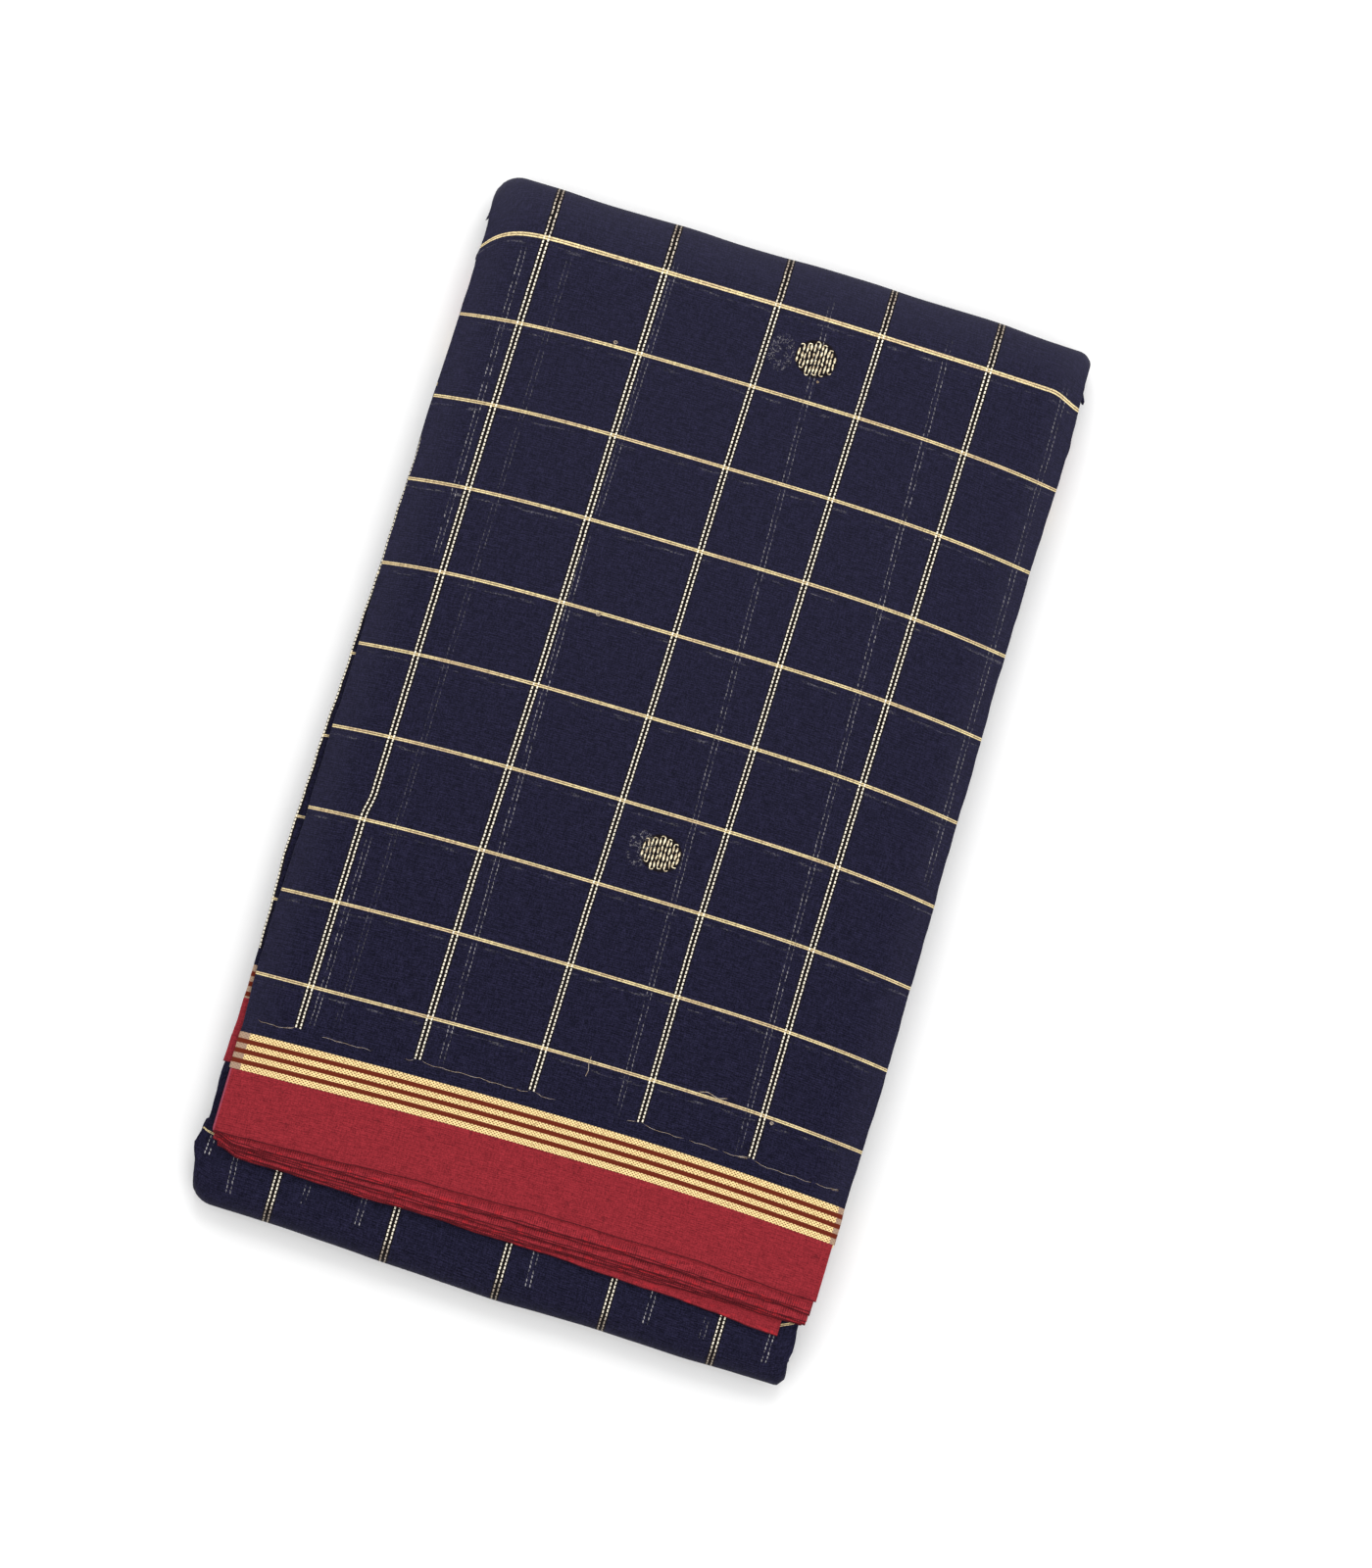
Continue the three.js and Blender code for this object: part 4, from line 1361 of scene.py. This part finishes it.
class SAREE_OT_slipped_lap(bpy.types.Operator):
    """Build the lap that has slipped out at the left side, with its own band and border"""

    bl_idname = "saree.slipped_lap"
    bl_label = "Slipped lap"

    def execute(self, context):
        _, row, _ = steps()
        made = materials()
        parts = (
            ("slipped_lap_field", SLIPPED_BAND_START, SLIPPED["head"], made["Navy field"], "navy_cloth"),
            ("slipped_lap_zari", SLIPPED_BAND_END, SLIPPED_BAND_START, made["Zari band"], "zari_band"),
            ("slipped_lap_red", SLIPPED_SELVEDGE, SLIPPED_BAND_END, made["Red border"], "red_border"),
        )
        for node, start, end, material, slot in parts:
            strip = Strip(top_rows(start, end, min(row, 1.6)))
            outline_left, _ = strip.outline()
            left = np.interp(strip.y, SLIPPED_EDGE["y"], SLIPPED_EDGE["left"])
            left = left + ripple(strip.y * 0, strip.y, SLIPPED_WAVES)
            inner = outline_left + SLIPPED["width"]
            low, high = SLIPPED["bottom"], SLIPPED["top"]
            radius = (high - low) / 2
            middle = (low + high) / 2
            section = [(1.0, 0.0, high), (0.55, 0.0, high), (0.25, 0.0, high)]
            for angle in np.linspace(math.pi / 2, -math.pi / 2, 9):
                section.append((0.0, radius * (1 - math.cos(angle)), middle + radius * math.sin(angle)))
            section += [(0.25, 0.0, low), (1.0, 0.0, low)]
            x = np.stack([left + share * (inner - left) + inset for share, inset, _ in section], axis=1)
            offset = np.array([[rise for _, _, rise in section]]) + 0.0 * x
            points = strip.points(x, offset)
            steps_round = np.linalg.norm(np.diff(points[0], axis=0), axis=1)
            round_edge = np.concatenate([[0.0], np.cumsum(steps_round)])
            around = round_edge - round_edge[7] - 0.25
            along = warp_coordinate(x, points[..., 1] + SLIPPED["shift"])
            data = {
                "cloth": vectors(around[None, :], along, SLIPPED_BAND_START - strip.y[:, None]),
                "rim": vectors(0.0 * x, np.abs(strip.y[:, None] - SLIPPED_SELVEDGE), 0.0),
            }
            name = node.replace("slipped_lap", "slipped_cloth")
            piece = make_piece(name, [(points, data)], material, slot, ("cloth", "rim"))
            declare(node, flat_size(points))
        return {"FINISHED"}


# A side fold's section, from the hidden cloth out to its nose, and the waves of each fold along the strip.
FOLD_SECTION = ((6.0, -0.25), (1.3, -0.26), (0.45, -0.235), (0.1, -0.14), (0.0, 0.0))
FOLD_SWAY = ((0.34, 340.0), (0.16, 97.0), (0.07, 27.0))
HEAD_ROWS = 152.0
LAPS_INTO_BAND = 12.6


class SAREE_OT_side_folds(bpy.types.Operator):
    """Build the folds of the hidden laps, which show as fine layers down both sides of the pack"""

    bl_idname = "saree.side_folds"
    bl_label = "Side folds"

    def execute(self, context):
        _, row, fold = steps()
        strip = Strip(
            top_rows(LAPS_END, HEAD_ROWS, row * 1.7)[:-1]
            + top_rows(HEAD_ROWS, HEAD_AXIS, row * 0.6)
            + head_fold_rows(fold)
            + middle_rows(HEAD_AXIS, FOOT_AXIS, row * 1.7)
            + foot_fold_rows(fold)
            + bottom_rows(FOOT_AXIS, -LAPS_END, row * 1.7)
        )
        outline_left, outline_right = strip.outline()
        half_section = np.array(FOLD_SECTION)
        profile = np.concatenate([half_section, half_section[-2::-1] * (1, -1)])
        length = strip.travelled(0.0)
        total = length[-1]
        random = np.random.default_rng(24)
        grids = []
        for side, outline in ((1, outline_left), (-1, outline_right)):
            for k in range(LAPS // 2):
                centre = -HALF + LAP * (2 * k + 1)
                phases = random.uniform(0, 2 * math.pi, 3)
                waves = [(height, ENDLESS, reach, phase) for (height, reach), phase in zip(FOLD_SWAY, phases)]
                inset = random.uniform(0.5, 1.5) + ripple(length * 0, length, waves)
                if side > 0 and SLIPPED["low"] < centre < SLIPPED["high"]:
                    slipping = smooth(168.0, HEAD_ROWS, strip.y) * (strip.panel == TOP)
                    inset = inset + SLIPPED["recess"] * slipping
                for part in LAP_BUMPS:
                    if part["side"] == side and part["first"] <= k <= part["last"]:
                        near = np.exp(-(((strip.y - part["y"]) / part["width"]) ** 2))
                        inset = inset - part["proud"] * near * (strip.panel == part["panel"])
                edge = outline + side * inset
                x = edge[:, None] + side * profile[None, :, 0]
                offset = centre + profile[None, :, 1] + 0.0 * x
                points = strip.points(x, offset)
                into = LAPS_INTO_BAND - np.minimum(length, total - length)
                along = length + 3.0 * math.sin(phases[0]) + random.uniform(-1.5, 1.5)
                across = np.cumsum(np.concatenate([[0.0], np.hypot(*np.diff(profile, axis=0).T)])) + 7.0 * k
                grids.append((points, {"cloth": vectors(across[None, :], along[:, None], into[:, None])}))
        area = sum(math.prod(flat_size(points)) for points, _ in grids)
        piece = make_piece("side_folds", grids, materials()["Lap folds"], "navy_cloth", ("cloth",))
        declare("hidden_laps", (area / (total * MM), total * MM))
        return {"FINISHED"}


def surface_point(x, y, lift):
    """A settled point at a height above the top panel's cloth, for y as it shows from above."""
    straight = y + float(bow(np.array(x))) * float(smooth(BOW["start"], BOW["end"], -y))
    z = TOP_LEVEL + OUTER + lift
    point = settle(np.array(float(x)), np.array(float(straight)), np.array(z), np.array(TOP))
    return np.array([x, y, point[2]])


def tube_grid(line, radius, sides=6):
    """Points round a line given as rows of x, y, z."""
    line = np.asarray(line, dtype=float)
    along = np.gradient(line, axis=0)
    along /= np.linalg.norm(along, axis=1)[:, None]
    up = np.array([0.0, 0.0, 1.0])
    side = np.cross(along, up)
    side /= np.maximum(np.linalg.norm(side, axis=1)[:, None], 1e-6)
    over = np.cross(side, along)
    angles = np.arange(sides) * 2 * math.pi / sides
    ends = np.ones(len(line))
    ends[0] = ends[-1] = 0.15
    radii = radius * ends[:, None, None]
    circle = np.cos(angles)[None, :, None] * side[:, None, :]
    circle = circle + np.sin(angles)[None, :, None] * over[:, None, :]
    return line[:, None, :] + radii * circle


def stitch_grid(x, y, length, width, height, lean):
    """One raised float of gold thread, as a flattened bead along the pack."""
    rings, sides = 7, 8
    rows = []
    for k in range(rings):
        share = k / (rings - 1)
        swell = math.sin(math.pi * (0.06 + 0.88 * share))
        along = y + (share - 0.5) * length
        middle = x + lean * (share - 0.5)
        base = surface_point(middle, along, 0.0)
        angles = np.arange(sides) * 2 * math.pi / sides
        ring = np.stack(
            [
                base[0] + 0.5 * width * swell * np.cos(angles),
                np.full(sides, along),
                base[2] + 0.1 + height * swell * np.sin(angles),
            ],
            axis=1,
        )
        rows.append(ring)
    return np.stack(rows)


def loop_line(x0, x1, y, rise, lift, count=9):
    """A half loop of thread from one column of floats to the next."""
    rows = []
    for k in range(count):
        angle = math.pi * k / (count - 1)
        x = (x0 + x1) / 2 - (x1 - x0) / 2 * math.cos(angle)
        rows.append(surface_point(x, y + rise * math.sin(angle), lift))
    return rows


def coin_threads(coin):
    """The floats of one coin motif, column by column, with the loops that join them at their ends."""
    random = np.random.default_rng(coin["seed"])
    last = len(COIN_TOPS) - 1
    threads = []
    for column, (top, foot) in enumerate(zip(COIN_TOPS, COIN_FEET)):
        across = coin["x"] + (column - last / 2) * COIN_PITCH
        count = max(2, int(round((top - foot) / COIN_FLOAT)))
        marks = np.linspace(foot, top, count + 1)
        marks[1:-1] += random.uniform(-0.8, 0.8, count - 1)
        for low, high in zip(marks[:-1], marks[1:]):
            x = across + random.normal(0, 0.08)
            length = (high - low) * random.uniform(0.84, 1.0)
            width = COIN_PITCH * random.uniform(0.50, 0.70)
            height = random.uniform(0.24, 0.40)
            lean = random.normal(0, 0.16)
            threads.append(stitch_grid(x, coin["y"] + (low + high) / 2, length, width, height, lean))
        if column == last:
            continue
        if column % 2 == 0:
            way, y = 1, coin["y"] + max(top, COIN_TOPS[column + 1]) - COIN_LOOP["inset"]
        else:
            way, y = -1, coin["y"] + min(foot, COIN_FEET[column + 1]) + COIN_LOOP["inset"]
        rise = way * random.uniform(0.2, 0.7)
        loop = loop_line(across, across + COIN_PITCH, y, rise, COIN_LOOP["lift"])
        threads.append(tube_grid(loop, COIN_LOOP["radius"]))
    return threads


def band_floats():
    """The loose weft floats that sag between the check's lines just above the band."""
    random = np.random.default_rng(5)
    gap = FLOAT["gap"]
    threads = []
    lines = [np.interp(-114.0, WEFT_HEIGHTS, line["across"]) for line in WEFT_LINES]
    stops = [-110.0] + lines + [109.0]
    for left, right in zip(stops[:-1], stops[1:]):
        x = left + gap
        while x < right - 3.0:
            reach = min(right - gap, x + random.uniform(5.0, 16.0))
            depth = random.uniform(0.2, 1.3)
            row = []
            for share in np.linspace(0, 1, 10):
                across = x + share * (reach - x)
                to_line = min(across - left, right - across)
                fall = (1.0 - math.exp(-max(0.0, to_line - 0.8) / 1.6)) * FLOAT["fall"] + depth * 0.5
                height = BAND_START + WEFT_END - float(bow(np.array(across))) - fall + 0.5
                height += 0.16 * math.sin(across * 0.9 + depth) + 0.08 * math.sin(across * 2.3)
                row.append(surface_point(across, height, FLOAT["lift"]))
            threads.append(tube_grid(row, FLOAT["radius"], 5))
            x = reach + random.uniform(0.2, 2.0) - random.choice([0.0, 4.0])
    return threads


def knot_thread(knot):
    """A loose end that curls up on itself."""
    row = []
    for share in np.linspace(0, 1, 16):
        angle = KNOT_TURN * share + knot["x"]
        radius = knot["size"] * (0.35 + 0.65 * share)
        x = knot["x"] + radius * math.cos(angle)
        y = knot["y"] + 0.7 * radius * math.sin(angle)
        row.append(surface_point(x, y, 0.15 + 0.25 * share))
    return tube_grid(row, KNOT_RADIUS, 5)


def strand_thread(run):
    """A loose strand that runs through a few places."""
    knots = np.array(run)
    order = range(len(knots))
    row = []
    for share in np.linspace(0, len(knots) - 1, 14):
        x, y = (np.interp(share, order, column) for column in knots.T)
        row.append(surface_point(x, y, 0.15))
    return tube_grid(row, STRAND_RADIUS, 5)


class SAREE_OT_thread_work(bpy.types.Operator):
    """Build the raised coin motifs, and the thin loose threads of the check"""

    bl_idname = "saree.thread_work"
    bl_label = "Thread work"

    def execute(self, context):
        made = materials()
        coins = [grid for coin in COINS for grid in coin_threads(coin)]
        loose = band_floats()
        loose += [knot_thread(knot) for knot in KNOTS]
        loose += [strand_thread(run) for run in STRANDS]
        threads = (("coin_motifs", coins, "Zari thread"), ("loose_threads", loose, "Loose thread"))
        for name, grids, look in threads:
            make_piece(name, [(grid, {}) for grid in grids], made[look], "zari_band", closed=True)
        return {"FINISHED"}


# The camera looks straight down, turned so that the pack leans in its view, and takes in this much of the
# plane; its height counts from the top cloth.
CAMERA = {"x": 17.0, "y": 2.63, "height": 4.0, "roll": 16.4, "view_height": 0.560, "sensor": 36.0}
TOP_CLOTH = 0.0235
FLOOR = {"half": 6.0, "z": -0.0004, "colour": (0.94, 0.94, 0.94, 1.0), "roughness": 0.9}
SKY = {"colour": (1.0, 1.0, 1.0, 1.0), "strength": 0.95}


class SAREE_OT_stage(bpy.types.Operator):
    """Add a pale floor, soft studio light and the camera"""

    bl_idname = "saree.stage"
    bl_label = "Stage"

    def execute(self, context):
        scene = context.scene
        half = FLOOR["half"]
        mesh = bpy.data.meshes.new("floor")
        corners = [(half * x, half * y, FLOOR["z"]) for x, y in ((-1, -1), (1, -1), (1, 1), (-1, 1))]
        mesh.from_pydata(corners, [], [(0, 1, 2, 3)])
        material = bpy.data.materials.new("Floor")
        material.use_nodes = True
        shader = material.node_tree.nodes["Principled BSDF"]
        shader.inputs["Base Color"].default_value = FLOOR["colour"]
        shader.inputs["Roughness"].default_value = FLOOR["roughness"]
        mesh.materials.append(material)
        floor = bpy.data.objects.new("floor", mesh)
        scene.collection.objects.link(floor)

        world = bpy.data.worlds.new("Soft light")
        world.use_nodes = True
        background = world.node_tree.nodes["Background"]
        background.inputs["Color"].default_value = SKY["colour"]
        background.inputs["Strength"].default_value = SKY["strength"]
        scene.world = world
        scene.view_settings.view_transform = "Standard"

        for name, place, energy, extent in (
            ("key_light", (-0.12, 1.10, 1.20), scene.saree.key_power, 1.1),
            ("fill_light", (0.8, -0.6, 1.5), scene.saree.fill_power, 1.4),
        ):
            light = bpy.data.lights.new(name, "AREA")
            light.energy = energy
            light.size = extent
            lamp = bpy.data.objects.new(name, light)
            lamp.location = place
            scene.collection.objects.link(lamp)
            aim = lamp.constraints.new("TRACK_TO")
            aim.target = frame["bodies"]["root"]
            aim.track_axis = "TRACK_NEGATIVE_Z"
            aim.up_axis = "UP_Y"

        data = bpy.data.cameras.new("camera")
        data.sensor_width = CAMERA["sensor"]
        data.lens = CAMERA["sensor"] * CAMERA["height"] / CAMERA["view_height"]
        camera = bpy.data.objects.new("camera", data)
        camera.location = (CAMERA["x"] * MM, CAMERA["y"] * MM, CAMERA["height"] + TOP_CLOTH)
        camera.rotation_euler = (0.0, 0.0, math.radians(CAMERA["roll"]))
        scene.collection.objects.link(camera)
        scene.camera = camera
        return {"FINISHED"}


class SAREE_PT_panel(bpy.types.Panel):
    """Saree tools in the sidebar"""

    bl_label = "Saree"
    bl_idname = "SAREE_PT_panel"
    bl_space_type = "VIEW_3D"
    bl_region_type = "UI"
    bl_category = "Saree"

    def draw(self, context):
        layout = self.layout
        settings = context.scene.saree
        for name in settings.bl_rna.properties.keys():
            if name not in ("rna_type", "name"):
                layout.prop(settings, name)
        for operator in OPERATORS:
            layout.operator(operator.bl_idname)


OPERATORS = (
    SAREE_OT_top_cloth,
    SAREE_OT_foot_laps,
    SAREE_OT_head_laps,
    SAREE_OT_under_cloth,
    SAREE_OT_slipped_lap,
    SAREE_OT_side_folds,
    SAREE_OT_thread_work,
    SAREE_OT_stage,
)
CLASSES = (SareeSettings, *OPERATORS, SAREE_PT_panel)


def register():
    for item in CLASSES:
        bpy.utils.register_class(item)
    bpy.types.Scene.saree = bpy.props.PointerProperty(type=SareeSettings)


def unregister():
    del bpy.types.Scene.saree
    for item in reversed(CLASSES):
        bpy.utils.unregister_class(item)


def main():
    register()
    bpy.ops.saree.top_cloth()
    bpy.ops.saree.foot_laps()
    bpy.ops.saree.head_laps()
    bpy.ops.saree.under_cloth()
    bpy.ops.saree.slipped_lap()
    bpy.ops.saree.side_folds()
    bpy.ops.saree.thread_work()
    bpy.ops.saree.stage()


if __name__ == "__main__":
    main()
